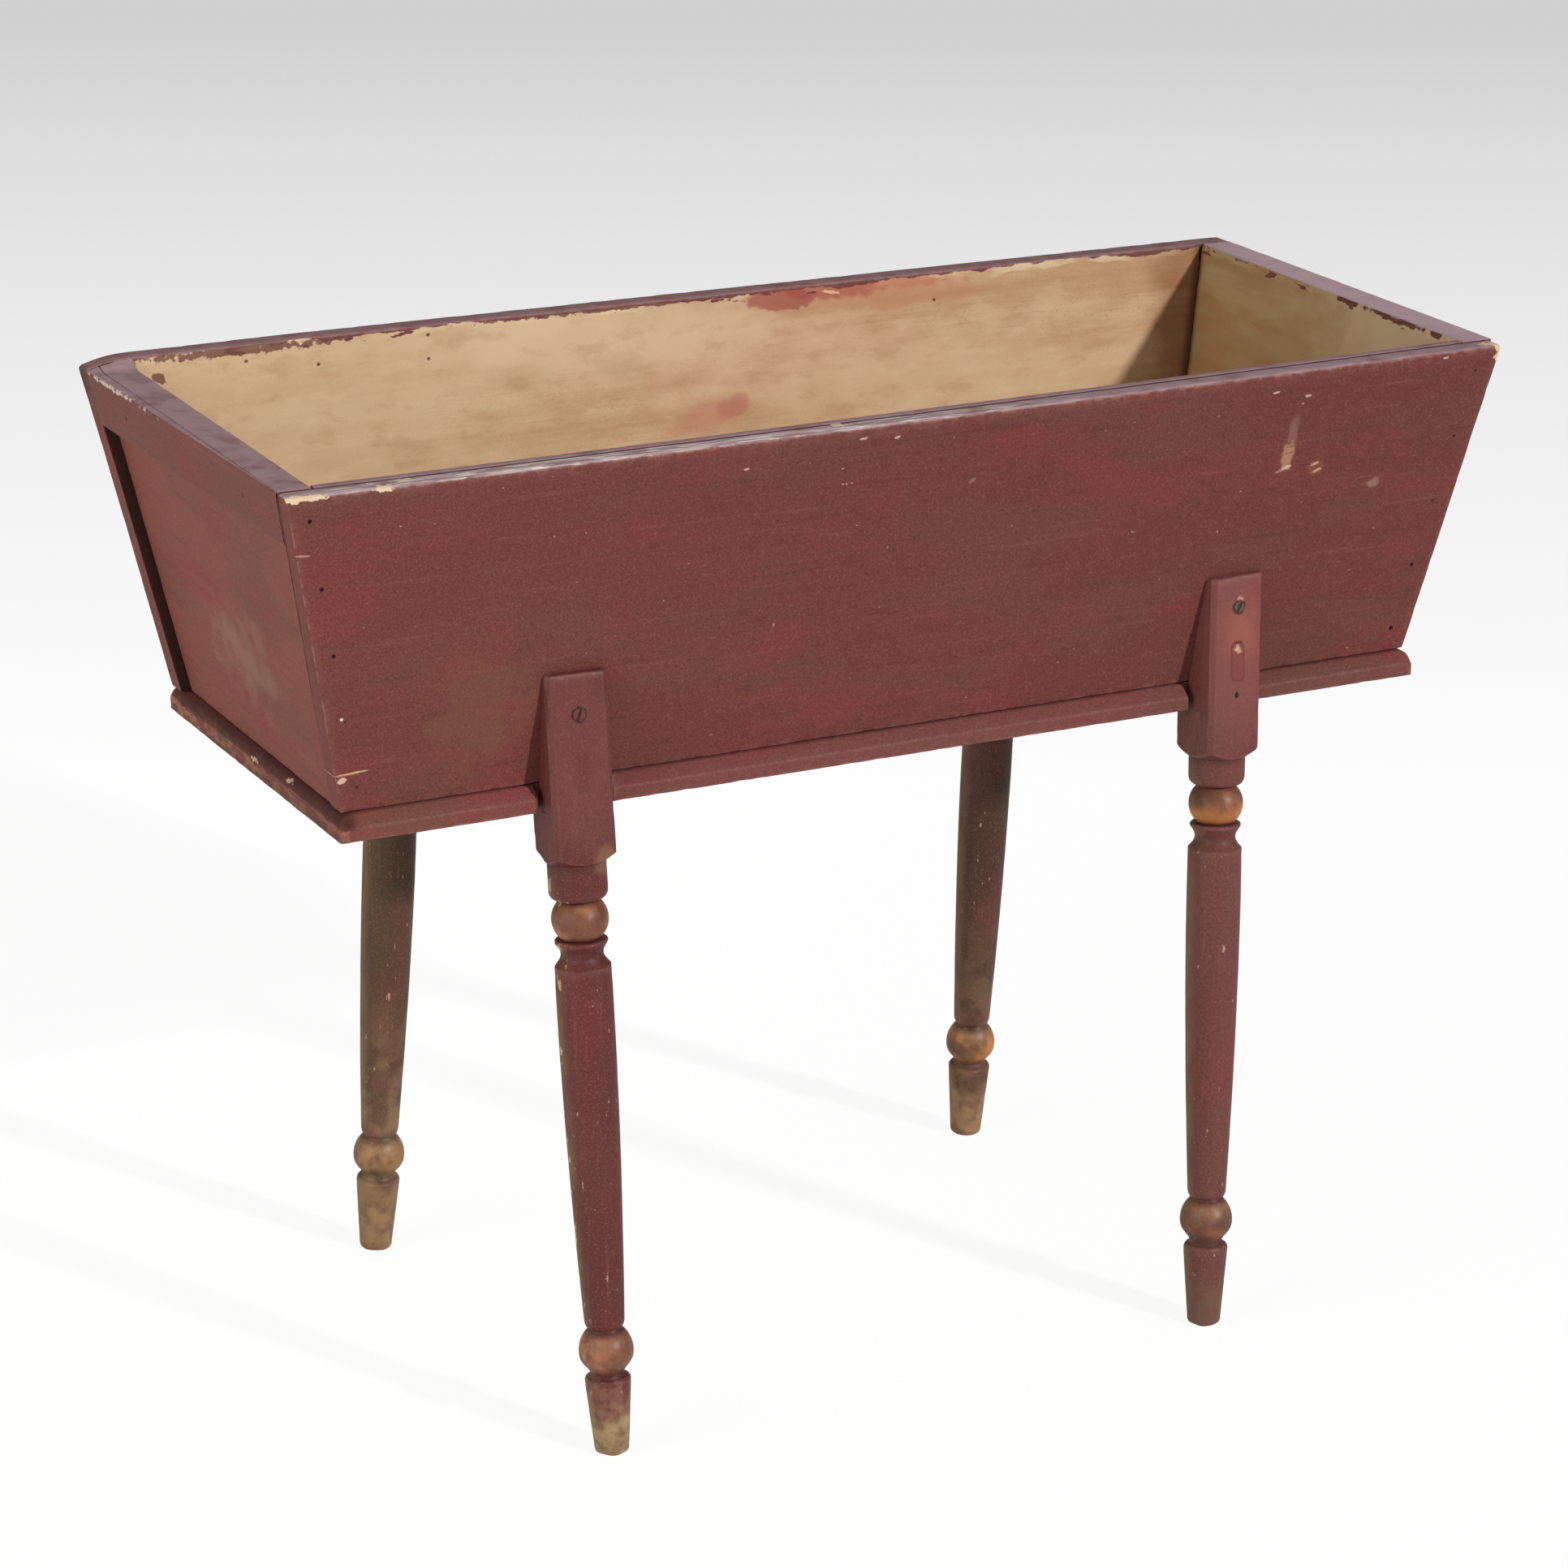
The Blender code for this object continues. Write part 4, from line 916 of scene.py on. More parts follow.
# Legs: each is turned from one square piece. The top is left square and cut to a tapered tongue that passes
# through the notch and lies on the long board. Paint is rubbed off the balls and feet down to brown wood.
LEG_CHAMFER = 0.0038
BLOCK_LENGTH = 0.0379
SHOULDER_RISE = 0.0065
SHOULDER_REACH = 1.15
COLLAR_RADIUS = 0.0207
COLLAR_LENGTH = 0.0215
COLLAR_ROUND = 0.0062
UPPER_BALL_RADIUS = 0.0201
UPPER_BALL_HALF = 0.0142
RING_RADIUS = 0.0189
RING_HALF = 0.0018
COVE_LENGTH = 0.0157
COVE_SAG = 0.0041
SHAFT_RADIUS = 0.0200
SHAFT_SWELL_BELOW_TOP = 0.0365
SHAFT_SWELL_POWER = 1.8
SHAFT_END_RADIUS = 0.0144
SHAFT_END_DROP = 0.0060
NECK_RADIUS = 0.0114
NECK_LENGTH = 0.0020
LOWER_BALL_RADIUS = 0.0195
LOWER_BALL_HALF = 0.0155
LOWER_BALL_DROP = 0.0184
LOWER_NECK_RADIUS = 0.0122
LOWER_NECK_LENGTH = 0.0020
FLANK_POWER = 1.5
BALL_FLATNESS = 1.34
FOOT_LENGTH = 0.0600
FOOT_TOP_RADIUS = 0.0166
FOOT_TOP_ROUND = 0.0036
FOOT_TOP_DROP = 0.0034
FOOT_END_RADIUS = 0.0124
FOOT_END_ROUND = 0.0035
FOOT_BELOW_FLOOR = 0.004
ARRIS_ROUND = 0.0018
LEG_SPACING = 0.0014
TONGUE_KEPT = 0.0008
TONGUE_TOP_ROUND = 0.0012
TONGUE_TOP_EASE = 0.0004
LEG_DENT = 0.00018
LEG_CHIP = 0.0012
SHOULDER_STEPS = 16
COLLAR_STEPS = 5
SHAFT_STEPS = 40
FOOT_STEPS = 12
BLOCK_STEPS = 6
TONGUE_STEPS = 24


def leg_matrix(place):
    """Frame of a leg: Z up its axis from the floor, Y from its outer face towards the trough."""
    foot = leg_axis_point(place, 0)
    up = (leg_axis_point(place, TONGUE_TOP) - foot).normalized()
    inward = Vector((0, -place["side"], 0))
    inward = (inward - up * inward.dot(up)).normalized()
    across = inward.cross(up)
    axes = Matrix((across, inward, up)).transposed().to_4x4()
    return Matrix.Translation(foot) @ axes @ Matrix.Rotation(math.radians(place["turn"]), 4, "Z")


def along_axis(place):
    """Distance along a leg's axis for each unit of height."""
    return (leg_axis_point(place, TONGUE_TOP) - leg_axis_point(place, 0)).length / TONGUE_TOP


def arc(radius_at, height_at, radius, height, start, end, steps):
    """Points of an elliptical arc, as (radius, height), from one angle in degrees to another."""
    points = []
    for step in range(steps + 1):
        angle = math.radians(start + (end - start) * step / steps)
        points.append((radius_at + radius * math.cos(angle), height_at + height * math.sin(angle)))
    return points


def ball(height_at, radius, half, below=1):
    """Points of a slightly flat ball, cut off half its height above its middle and a share of that below."""
    tall = half * BALL_FLATNESS
    lean = math.degrees(math.asin(half / tall))
    return arc(0, height_at, radius, tall, lean, -lean * below, 22)


def flank(height_at, radius, end_radius, length, steps=16):
    """Points of the lower half of a ball that runs out in a hollow neck."""
    points = []
    for step in range(1, steps + 1):
        share = (step / steps) ** FLANK_POWER
        fall = share * share * (3 - 2 * share)
        points.append((radius + (end_radius - radius) * fall, height_at - length * step / steps))
    return points


def hollow(top, bottom, sag, steps=14):
    """Points between two edges given as (radius, height), hollowed most in the middle."""
    points = []
    for step in range(1, steps):
        share = step / steps
        radius = top[0] + (bottom[0] - top[0]) * share - sag * math.sin(math.pi * share)
        points.append((radius, top[1] + (bottom[1] - top[1]) * share))
    return points


def shaft_radius(at, swell_at, shaft_end):
    """Radius of the shaft: a slow swell, then a taper to its lower end."""
    share = abs(swell_at - at) / (swell_at - shaft_end)
    return SHAFT_RADIUS - (SHAFT_RADIUS - SHAFT_END_RADIUS) * share ** SHAFT_SWELL_POWER


def turning(place):
    """The turned outline from the shoulder down, as (radius, distance up the axis), and its main heights."""
    corner_radius = math.hypot(LEG_SQUARE / 2, LEG_SQUARE / 2 - LEG_CHAMFER)
    shoulder = FLOOR_UNDER * along_axis(place) - BLOCK_LENGTH
    collar = COLLAR_LENGTH + place["drop"]
    outline = []
    for step in range(SHOULDER_STEPS, -1, -1):
        share = step / SHOULDER_STEPS * SHOULDER_REACH
        radius = COLLAR_RADIUS + (corner_radius - COLLAR_RADIUS) * share
        outline.append((radius, shoulder + SHOULDER_RISE * share))
    height = shoulder - collar
    for step in range(1, COLLAR_STEPS):
        outline.append((COLLAR_RADIUS, shoulder - (collar - COLLAR_ROUND) * step / COLLAR_STEPS))
    outline += arc(COLLAR_RADIUS - COLLAR_ROUND, height + COLLAR_ROUND, COLLAR_ROUND, COLLAR_ROUND, 0, -80, 8)
    upper_ball = height - UPPER_BALL_HALF
    outline += ball(upper_ball, UPPER_BALL_RADIUS, UPPER_BALL_HALF)
    height = upper_ball - UPPER_BALL_HALF - RING_HALF
    outline += arc(RING_RADIUS - RING_HALF, height, RING_HALF, RING_HALF, 75, -45, 8)
    ring_edge = outline[-1]
    shaft_top = height - RING_HALF - COVE_LENGTH

    foot_top = FOOT_LENGTH - place["short"]
    lower_ball = foot_top + LOWER_BALL_DROP
    neck_top = lower_ball + LOWER_BALL_HALF + NECK_LENGTH
    shaft_end = neck_top + SHAFT_END_DROP
    swell_at = shaft_top - SHAFT_SWELL_BELOW_TOP
    shaft_edge = (shaft_radius(shaft_top, swell_at, shaft_end), shaft_top)
    outline += hollow(ring_edge, shaft_edge, COVE_SAG)
    outline.append(shaft_edge)
    for step in range(1, SHAFT_STEPS):
        at = shaft_top + (shaft_end - shaft_top) * step / SHAFT_STEPS
        outline.append((shaft_radius(at, swell_at, shaft_end), at))
    fall = SHAFT_END_RADIUS - NECK_RADIUS
    outline += arc(NECK_RADIUS, shaft_end, fall, SHAFT_END_DROP, 0, -80, 8)
    outline += ball(lower_ball, LOWER_BALL_RADIUS, LOWER_BALL_HALF, 0)
    flank_length = LOWER_BALL_DROP - LOWER_NECK_LENGTH
    outline += flank(lower_ball, LOWER_BALL_RADIUS, LOWER_NECK_RADIUS, flank_length)
    inside = FOOT_TOP_RADIUS - FOOT_TOP_ROUND
    outline += arc(inside, foot_top - FOOT_TOP_DROP, FOOT_TOP_ROUND, FOOT_TOP_DROP, 80, 0, 6)
    below = foot_top - FOOT_TOP_DROP
    for step in range(1, FOOT_STEPS):
        share = step / FOOT_STEPS
        radius = FOOT_TOP_RADIUS + (FOOT_END_RADIUS - FOOT_TOP_RADIUS) * share
        outline.append((radius, below + (FOOT_END_ROUND - below) * share))
    inside = FOOT_END_RADIUS - FOOT_END_ROUND
    outline += arc(inside, FOOT_END_ROUND, FOOT_END_ROUND, FOOT_END_ROUND, 0, -60, 5)
    outline.append((inside, -FOOT_BELOW_FLOOR))
    return outline, upper_ball, lower_ball, shoulder


def leg_shape(place):
    """One leg from rings round its axis: turned, then square, then cut back to the tongue."""
    half = LEG_SQUARE / 2
    inner = half - LEG_CHAMFER
    corners = [(half, -inner), (half, inner), (inner, half), (-inner, half),
               (-half, inner), (-half, -inner), (-inner, -half), (inner, -half)]
    square = rounded_section(corners, [ARRIS_ROUND] * len(corners), LEG_SPACING, 3)
    matrix = leg_matrix(place)
    up = matrix.col[2].to_3d()
    rings = []

    def level(points, z):
        """The same points moved along the axis to one height."""
        return [point + up * ((z - point.z) / up.z) for point in points]

    outline, upper_ball, lower_ball, shoulder = turning(place)
    for radius, height in reversed(outline):
        ring = []
        for point in square:
            gap = radius - point.length
            reach = point.length + min(0, gap)
            if abs(gap) < ARRIS_ROUND / 2:
                reach = point.length + gap / 2 - (gap * gap / ARRIS_ROUND + ARRIS_ROUND / 4) / 2
            flat = point * (reach / point.length)
            ring.append(matrix @ Vector((flat.x, flat.y, height)))
        if min(point.z for point in ring) < 0:
            ring = [point + up * (max(0, -point.z) / up.z) for point in ring]
        rings.append(ring)
    full = [matrix @ Vector((point.x, point.y, 0)) for point in square]
    start = outline[0][1] / along_axis(place)
    ledge = FLOOR_UNDER - CLEARANCE
    for step in range(1, BLOCK_STEPS + 1):
        rings.append(level(full, start + (ledge - start) * step / BLOCK_STEPS))

    face = place["side"] * CLEARANCE
    front_end = -half + LEG_CHAMFER + TONGUE_KEPT

    def tongue(z, inset):
        """The section at one height, cut back to the long board's face."""
        plane = place["side"] * side_y(z) + face
        base = matrix.translation
        across = matrix.col[0].to_3d()
        inward = matrix.col[1].to_3d()
        ring = []
        for point in square:
            x = point.x
            y = point.y
            if y > inner - ARRIS_ROUND:
                x = max(-half, min(half, x * half / (inner - ARRIS_ROUND)))
            start_y = base.y + across.y * x + up.y * (z - base.z - across.z * x) / up.z
            per_y = inward.y - up.y * inward.z / up.z
            back = (plane - start_y) / per_y
            if y > front_end:
                y = front_end + (y - front_end) / (half - front_end) * (back - front_end)
            x *= 1 - inset / half
            y += inset if y < front_end else 0
            ring.append(base + across * x + inward * y)
        return level(ring, z)

    for step in range(TONGUE_STEPS + 1):
        rings.append(tongue(ledge + (TONGUE_TOP - TONGUE_TOP_ROUND - ledge) * step / TONGUE_STEPS, 0))
    rings.append(tongue(TONGUE_TOP - TONGUE_TOP_EASE, TONGUE_TOP_EASE))
    rings.append(tongue(TONGUE_TOP, TONGUE_TOP_ROUND))
    return loft(rings), upper_ball, lower_ball, shoulder


def tongue_point(place, across, below_top):
    """Point of a tongue's outer face, so far from its middle line and below its top."""
    height = (TONGUE_TOP - below_top - place["drop"]) * along_axis(place)
    return leg_matrix(place) @ Vector((across, -LEG_SQUARE / 2, height))


def pin_matrix(head, direction, sink):
    """Frame of a fixing: its head sunk under the face, its point towards the direction."""
    inward = Vector(direction).normalized()
    turn = (-inward).to_track_quat("Z", "Y").to_matrix().to_4x4()
    return Matrix.Translation(Vector(head) + inward * sink) @ turn


def tongue_pin(place, below_top, sink):
    """Frame of what is let into the middle of a tongue's outer face, so far below its top."""
    return pin_matrix(tongue_point(place, 0, below_top), leg_matrix(place).to_3x3() @ Vector((0, 1, 0)), sink)


SCREW_BELOW_TOP = 0.0245
FOOT_FADE = 0.03
TURNED_FADE = 0.02
RUB_STEEPNESS = 4
PALE_FROM = 0.24
PALE_FULL = 0.08
LOWER_PART_FROM = 0.25
LOWER_PART_FULL = 0.20
LEG_LOOKS = {
    "front_left": {"paint": srgb(90, 41, 38), "clouds": 0.4, "pink": 0.24, "worn_up_to": 0.041,
                   "foot": srgb(168, 146, 108), "lit": 0.12,
                   "balls": (srgb(126, 84, 60), srgb(164, 112, 82))},
    "front_right": {"paint": srgb(108, 59, 54), "clouds": 1.0, "pink": 0.40, "worn_up_to": 0.034,
                    "foot": srgb(108, 88, 70), "lit": 0.32, "balls": (srgb(96, 70, 52), srgb(150, 98, 68))},
    # The back legs' darker paint colours are painted shade
    "back_left": {"paint": srgb(76, 57, 39), "clouds": 0.4, "pink": 0, "worn_up_to": 0.050, "paler": 0.80,
                  "foot": srgb(150, 118, 86), "lit": 0.32, "balls": (srgb(104, 82, 54), srgb(164, 122, 82))},
    "back_right": {"paint": srgb(70, 48, 36), "clouds": 0.4, "pink": 0, "worn_up_to": 0.050, "paler": 0.42,
                   "foot": srgb(156, 122, 88), "lit": 0.32, "balls": (srgb(120, 92, 64), srgb(198, 122, 66))},
}
PINK = srgb(140, 82, 78)
for leg_name, leg_place in LEG_PLACES.items():
    look = LEG_LOOKS[leg_name]
    shape, upper_ball, lower_ball, shoulder = leg_shape(leg_place)
    to_leg = leg_matrix(leg_place).inverted()
    weather(shape, LEG_DENT, LEG_CHIP)

    def rubbed(place, normal):
        """How far the paint is rubbed off: all over the two balls."""
        height = (to_leg @ place).z
        on_upper = 1 - abs(height - upper_ball) / UPPER_BALL_HALF
        on_lower = 1 - abs(height - lower_ball) / LOWER_BALL_HALF
        return max(0, on_upper, on_lower) * RUB_STEEPNESS

    mark_points(shape, "rub", rubbed)
    mark_points(shape, "foot", lambda place, normal: (look["worn_up_to"] - (to_leg @ place).z) / FOOT_FADE)
    finish = Finish(leg_name + "_leg_paint")
    paint, streak = old_paint(finish, GRAIN_Z, 0.0, look["paint"], 0.15, look["clouds"])
    height = finish.axis_of(finish.place, 2)
    faces_right, faces_back, faces_up = [finish.axis_of(finish.facing, axis) for axis in range(3)]
    # Flecks on the turned part, and the paint olive brown on its left-facing side
    turned = finish.band(height, shoulder, shoulder - TURNED_FADE)
    fleck = finish.band(finish.noise(230, 3, (1, 1, 0.4)), 0.70, 0.73, 0, 0.6)
    paint = finish.mix(finish.times(turned, fleck), paint, srgb(196, 160, 146))
    leftward = finish.times(finish.band(faces_right, -0.30, -0.70), finish.band(faces_back, -0.55, 0.0))
    leftward = finish.times(leftward, turned)
    left_olive = finish.band(finish.noise(60, 4, (1, 1, 0.5)), 0.30, 0.60, 0.1, 0.7)
    paint = finish.mix(finish.times(leftward, left_olive), paint, srgb(118, 92, 64))
    if leg_place["side"] > 0:
        # Back legs: darker paint as painted shade, paler and redder patches towards the foot, and plain paint
        # on the outer side
        lower_end = finish.band(height, PALE_FROM, PALE_FULL)
        paler = finish.band(finish.noise(48, 5), 0.36, 0.60, 0.1, look["paler"])
        paint = finish.mix(finish.times(lower_end, paler), paint, srgb(142, 114, 82))
        redder = finish.band(finish.noise(42, 5, shift=(1.7, 3.3, 0.8)), 0.50, 0.66, 0, 0.60)
        paint = finish.mix(finish.times(lower_end, redder), paint, srgb(118, 76, 70))
        outer = old_paint(finish, GRAIN_Z, 0.0, PAINT, 0.15)[0]
        paint = finish.mix(finish.band(faces_back, -0.2, 0.6), paint, outer)
    if leg_name == "front_left":
        flaked = finish.band(finish.noise(170, 4, (1, 1, 0.5)), 0.60, 0.64, 0, 0.7)
        paint = finish.mix(finish.times(leftward, flaked), paint, srgb(206, 184, 156))
    if leg_place["side"] < 0:
        middle = tongue_point(leg_place, 0, 0.055)
        paint = finish.stain(paint, PINK, look["pink"], middle, (0.030, 0.03, 0.065), 0, 0.3, 60, 0.9)
    if leg_name == "front_right":
        place = tongue_point(leg_place, 0.003, 0.044)
        paint = finish.stain(paint, srgb(176, 102, 72), 0.36, place, (0.013, 0.02, 0.020), 0, 0.8, 60, 1.5)
        place = tongue_point(leg_place, 0.001, SCREW_BELOW_TOP - 0.006)
        half = (0.0024, 0.01, 0.0022)
        paint = finish.stain(paint, srgb(200, 152, 138), 0.65, place, half, 25, 1.2, 240, 0.9)
        place = tongue_point(leg_place, 0, 0.089)
        paint = finish.stain(paint, srgb(40, 12, 10), 0.95, place, (0.0018, 0.01, 0.0024), 0, 0.3, 300)
    if leg_name == "front_left":
        place = leg_axis_point(leg_place, 0.042)
        paint = finish.stain(paint, srgb(164, 122, 100), 0.32, place, (0.03, 0.03, 0.013), 0, 1.6, 130, 1.0)
        place = tongue_point(leg_place, 0.016, 0.130)
        paint = finish.stain(paint, srgb(146, 108, 78), 0.50, place, (0.010, 0.02, 0.010), 0, 0.9, 90, 0.9)
    # Painted shadow in a ring round each screw head
    place = tongue_point(leg_place, 0, SCREW_BELOW_TOP)
    paint = finish.stain(paint, srgb(46, 22, 20), 0.85, place, (0.0054, 0.01, 0.0054), 0, 0.5, 300, 0.4)
    # Brown wood of the balls, and of the foot, with a painted highlight on upward faces low on the leg
    brown = finish.mix(finish.band(finish.noise(44, 4), 0.38, 0.64), *look["balls"])
    brown = finish.tint(brown, srgb(88, 58, 42), 0.50, finish.noise(110, 4), 0.45, 0.65)
    if leg_name == "front_right":
        place = leg_axis_point(leg_place, (upper_ball - UPPER_BALL_HALF * 0.55) / along_axis(leg_place))
        brown = finish.stain(brown, srgb(206, 132, 62), 0.80, place, (0.03, 0.03, 0.0090), 0, 0.6, 60, 1.0)
    lower_part = finish.band(height, LOWER_PART_FROM, LOWER_PART_FULL)
    # Painted highlight on the upward faces low on the leg
    lit = finish.times(lower_part, finish.band(faces_up, 0.0, 0.8, 0, look["lit"]))
    brown = finish.mix(lit, brown, srgb(196, 160, 122))
    rub = finish.times(finish.attribute("rub"), finish.band(finish.noise(70, 4), 0.30, 0.60, 0.6, 1))
    colour = finish.mix(finish.times(rub, 0.85), paint, brown)
    foot = finish.math("ADD", finish.attribute("foot"), finish.wander(2.4, 55, 5))
    sole = finish.tint(look["foot"], srgb(106, 74, 55), 0.7, finish.noise(85, 5), 0.38, 0.66)
    colour = finish.tint(colour, sole, 0.85, foot, -0.30, 0.90)
    # Darker in the grooves
    colour = finish.mix(finish.times(finish.attribute("groove"), 0.15), colour, srgb(56, 36, 28))
    colour = finish.mix(chip_share(finish, 0.76), colour, srgb(190, 144, 108))
    material = finish.done(colour, finish.band(rub, 0, 1, 0.50, 0.42), streak, FINE_RELIEF, 0.25)
    add_piece("turned_" + leg_name + "_leg", shape, material, "leg_wood", leg_name + "_leg")

# Plugs: a long wooden plug or filling let into each tongue below its screw and painted over. On the front
# right leg its upper end is rubbed bare.
PLUG_BELOW_TOP = 0.0640
PLUG_WIDTH = 0.012
PLUG_HEIGHT = 0.030
PLUG_DEPTH = 0.010
PLUG_ROUND = 0.0048
PLUG_CROWN = 0.0003
PLUG_SPACING = 0.0015
PLUG_DENT = 0.0001
PLUG_CHIP = 0.0003
PLUG_SHOWS = {"front_left": 0.35, "front_right": 0.8}
PLUG_SHOWS_LITTLE = 0.15


def plug_shape(matrix):
    """One plug, its face slightly crowned and its edge eased."""
    half_width = PLUG_WIDTH / 2
    half_height = PLUG_HEIGHT / 2
    corners = [(-half_width, -half_height), (half_width, -half_height),
               (half_width, half_height), (-half_width, half_height)]
    outline = rounded_section(corners, [PLUG_ROUND] * len(corners), PLUG_SPACING, 8)
    face = ((0.0004, PLUG_CROWN * 0.7), (0.0015, PLUG_CROWN), (0.0035, PLUG_CROWN))
    rings = []
    for inset, height in ((0, -PLUG_DEPTH), (0, 0), *face):
        rings.append([matrix @ Vector((x, y, height)) for x, y in inset_section(outline, inset)])
    return loft(rings)


for leg_name, leg_place in LEG_PLACES.items():
    shape = plug_shape(tongue_pin(leg_place, PLUG_BELOW_TOP, 0))
    weather(shape, PLUG_DENT, PLUG_CHIP, dent_scale=120, chip_scale=300)
    finish = Finish(leg_name + "_plug_paint")
    look = LEG_LOOKS[leg_name]
    base = look["paint"] if leg_place["side"] < 0 else PAINT
    paint, streak = old_paint(finish, GRAIN_Z, 0.0, base, 0.1, look["clouds"])
    paint = finish.mix(look["pink"], paint, PINK)
    shows = PLUG_SHOWS.get(leg_name, PLUG_SHOWS_LITTLE)
    colour = finish.tint(paint, srgb(58, 30, 27), shows * 0.4, finish.attribute("edge"), 0.3, 0.9)
    if leg_name == "front_right":
        upper_end = PLUG_BELOW_TOP - PLUG_HEIGHT / 2
        bare_places = ((0.0002, 0.0066, 0.0034, 0.0022), (-0.0008, 0.0044, 0.0016, 0.0030))
        for across, below_end, half_width, half_height in bare_places:
            place = tongue_point(leg_place, across, upper_end + below_end)
            half = (half_width, 0.01, half_height)
            colour = finish.stain(colour, srgb(204, 160, 134), 0.70, place, half, 20, 1.0, 420, 0.6)
        place = tongue_point(leg_place, 0.0006, upper_end + 0.0010)
        colour = finish.stain(colour, srgb(92, 48, 36), 0.85, place, (0.0032, 0.01, 0.0016), 0, 0.6, 240, 0.5)
    material = finish.done(colour, 0.6, streak, FINE_RELIEF)
    add_piece(leg_name + "_filled_plug", shape, material, "wood_filler", leg_name + "_plug")

# Screws: one slotted countersunk steel screw through each tongue into the long board, dull and dark with
# age. The front left one is mostly painted over.
SCREW_PROUD = 0.0004
SCREW_POINT_RADIUS = 0.0004
SLOT_SHADE_DEPTH = 0.0010
SCREW_LOOKS = {"front_left": (0.15, -26), "front_right": (1.0, -28)}
SCREW_LOOK_HIDDEN = (0.5, 0)


def fixing_tree(name, sizes, model):
    """Node group that puts one fixing on each point, its head along the point's direction."""
    tree = bpy.data.node_groups.new(name, "GeometryNodeTree")
    tree.interface.new_socket("Geometry", in_out="OUTPUT", socket_type="NodeSocketGeometry")
    tree.interface.new_socket("Points", in_out="INPUT", socket_type="NodeSocketGeometry")
    for size in sizes:
        tree.interface.new_socket(size, in_out="INPUT", socket_type="NodeSocketFloat")
    tree.interface.new_socket("Finish", in_out="INPUT", socket_type="NodeSocketMaterial")
    make = node_maker(tree)
    given = make("NodeGroupInput").outputs
    one = model(make, given)
    heading = make("GeometryNodeInputNamedAttribute", {"data_type": "FLOAT_VECTOR"}, Name="direction")
    turn = make("FunctionNodeAlignRotationToVector", {"axis": "Z"}, Vector=heading.outputs["Attribute"])
    angle = make("GeometryNodeInputNamedAttribute", {"data_type": "FLOAT"}, Name="spin")
    spin = make("ShaderNodeCombineXYZ", Z=angle.outputs["Attribute"])
    spun = make("FunctionNodeRotateRotation", {"rotation_space": "LOCAL"}, Rotation=turn.outputs["Rotation"],
                Rotate_By=make("FunctionNodeEulerToRotation", Euler=spin.outputs[0]).outputs[0])
    vary = make("FunctionNodeRandomValue", {"data_type": "FLOAT"}, Min=0.92, Max=1.08, Seed=7)
    scale = next(item for item in vary.outputs if item.enabled)
    placed = make("GeometryNodeInstanceOnPoints", Points=given["Points"], Instance=one,
                  Rotation=spun.outputs["Rotation"], Scale=scale)
    real = make("GeometryNodeRealizeInstances", Geometry=placed.outputs["Instances"])
    coated = make("GeometryNodeSetMaterial", Geometry=real.outputs["Geometry"], Material=given["Finish"])
    end = tree.nodes.new("NodeGroupOutput")
    tree.links.new(coated.outputs["Geometry"], end.inputs["Geometry"])
    return tree


def below_head(heads, place, normal):
    """How far a point lies below the head of the fixing that it belongs to, full where a slot's painted shade
    is darkest.
    """
    nearest = min(heads, key=lambda item: (item[0] - place).length)
    return (nearest[0] - place).dot(nearest[1]) / SLOT_SHADE_DEPTH


def add_fixings(name, tree, sizes, heads, slot, material, nodes):
    """Place fixings with a node group, make the result a plain mesh and let it stand for the nodes."""
    mesh = bpy.data.meshes.new(name + "_points")
    mesh.from_pydata([head[0] for head in heads], [], [])
    mesh.attributes.new("direction", "FLOAT_VECTOR", "POINT")
    mesh.attributes.new("bare", "FLOAT", "POINT")
    mesh.attributes.new("spin", "FLOAT", "POINT")
    for index, (place, direction, bare, spin) in enumerate(heads):
        mesh.attributes["direction"].data[index].vector = direction
        mesh.attributes["bare"].data[index].value = bare
        mesh.attributes["spin"].data[index].value = math.radians(spin)
    holder = add_object(name + "_points", mesh)
    modifier = holder.modifiers.new("fixings", "NODES")
    modifier.node_group = tree
    for socket in tree.interface.items_tree:
        if socket.in_out == "INPUT" and socket.name in sizes:
            modifier[socket.identifier] = sizes[socket.name]
        if socket.in_out == "INPUT" and socket.name == "Finish":
            modifier[socket.identifier] = material
    graph = bpy.context.evaluated_depsgraph_get()
    made = bpy.data.meshes.new_from_object(holder.evaluated_get(graph))
    bpy.data.objects.remove(holder, do_unlink=True)
    shape = bmesh.new()
    shape.from_mesh(made)
    bmesh.ops.remove_doubles(shape, verts=shape.verts, dist=WELD)
    bmesh.ops.recalc_face_normals(shape, faces=shape.faces)
    mark_points(shape, "below", partial(below_head, heads))
    add_piece(name, shape, material, slot, *nodes)


def sunk_cone(make, vertices, top, bottom, depth, further=0.0):
    """A cone of the given radii, sunk below height 0 by its depth and a further depth."""
    cone = make("GeometryNodeMeshCone", Vertices=vertices, Radius_Top=top, Radius_Bottom=bottom, Depth=depth)
    total = make("ShaderNodeMath", {"operation": "ADD"})
    feed(total.inputs[0], depth)
    feed(total.inputs[1], further)
    up = make("ShaderNodeCombineXYZ", Z=total.outputs[0])
    down = make("ShaderNodeVectorMath", {"operation": "SCALE"}, Vector=up.outputs[0], Scale=-1.0)
    moved = make("GeometryNodeTransform", Geometry=cone.outputs["Mesh"], Translation=down.outputs[0])
    return moved.outputs["Geometry"]


def joined(make, *parts):
    """Several meshes as one."""
    join = make("GeometryNodeJoinGeometry")
    for part in parts:
        feed(join.inputs["Geometry"], part)
    return join.outputs["Geometry"]


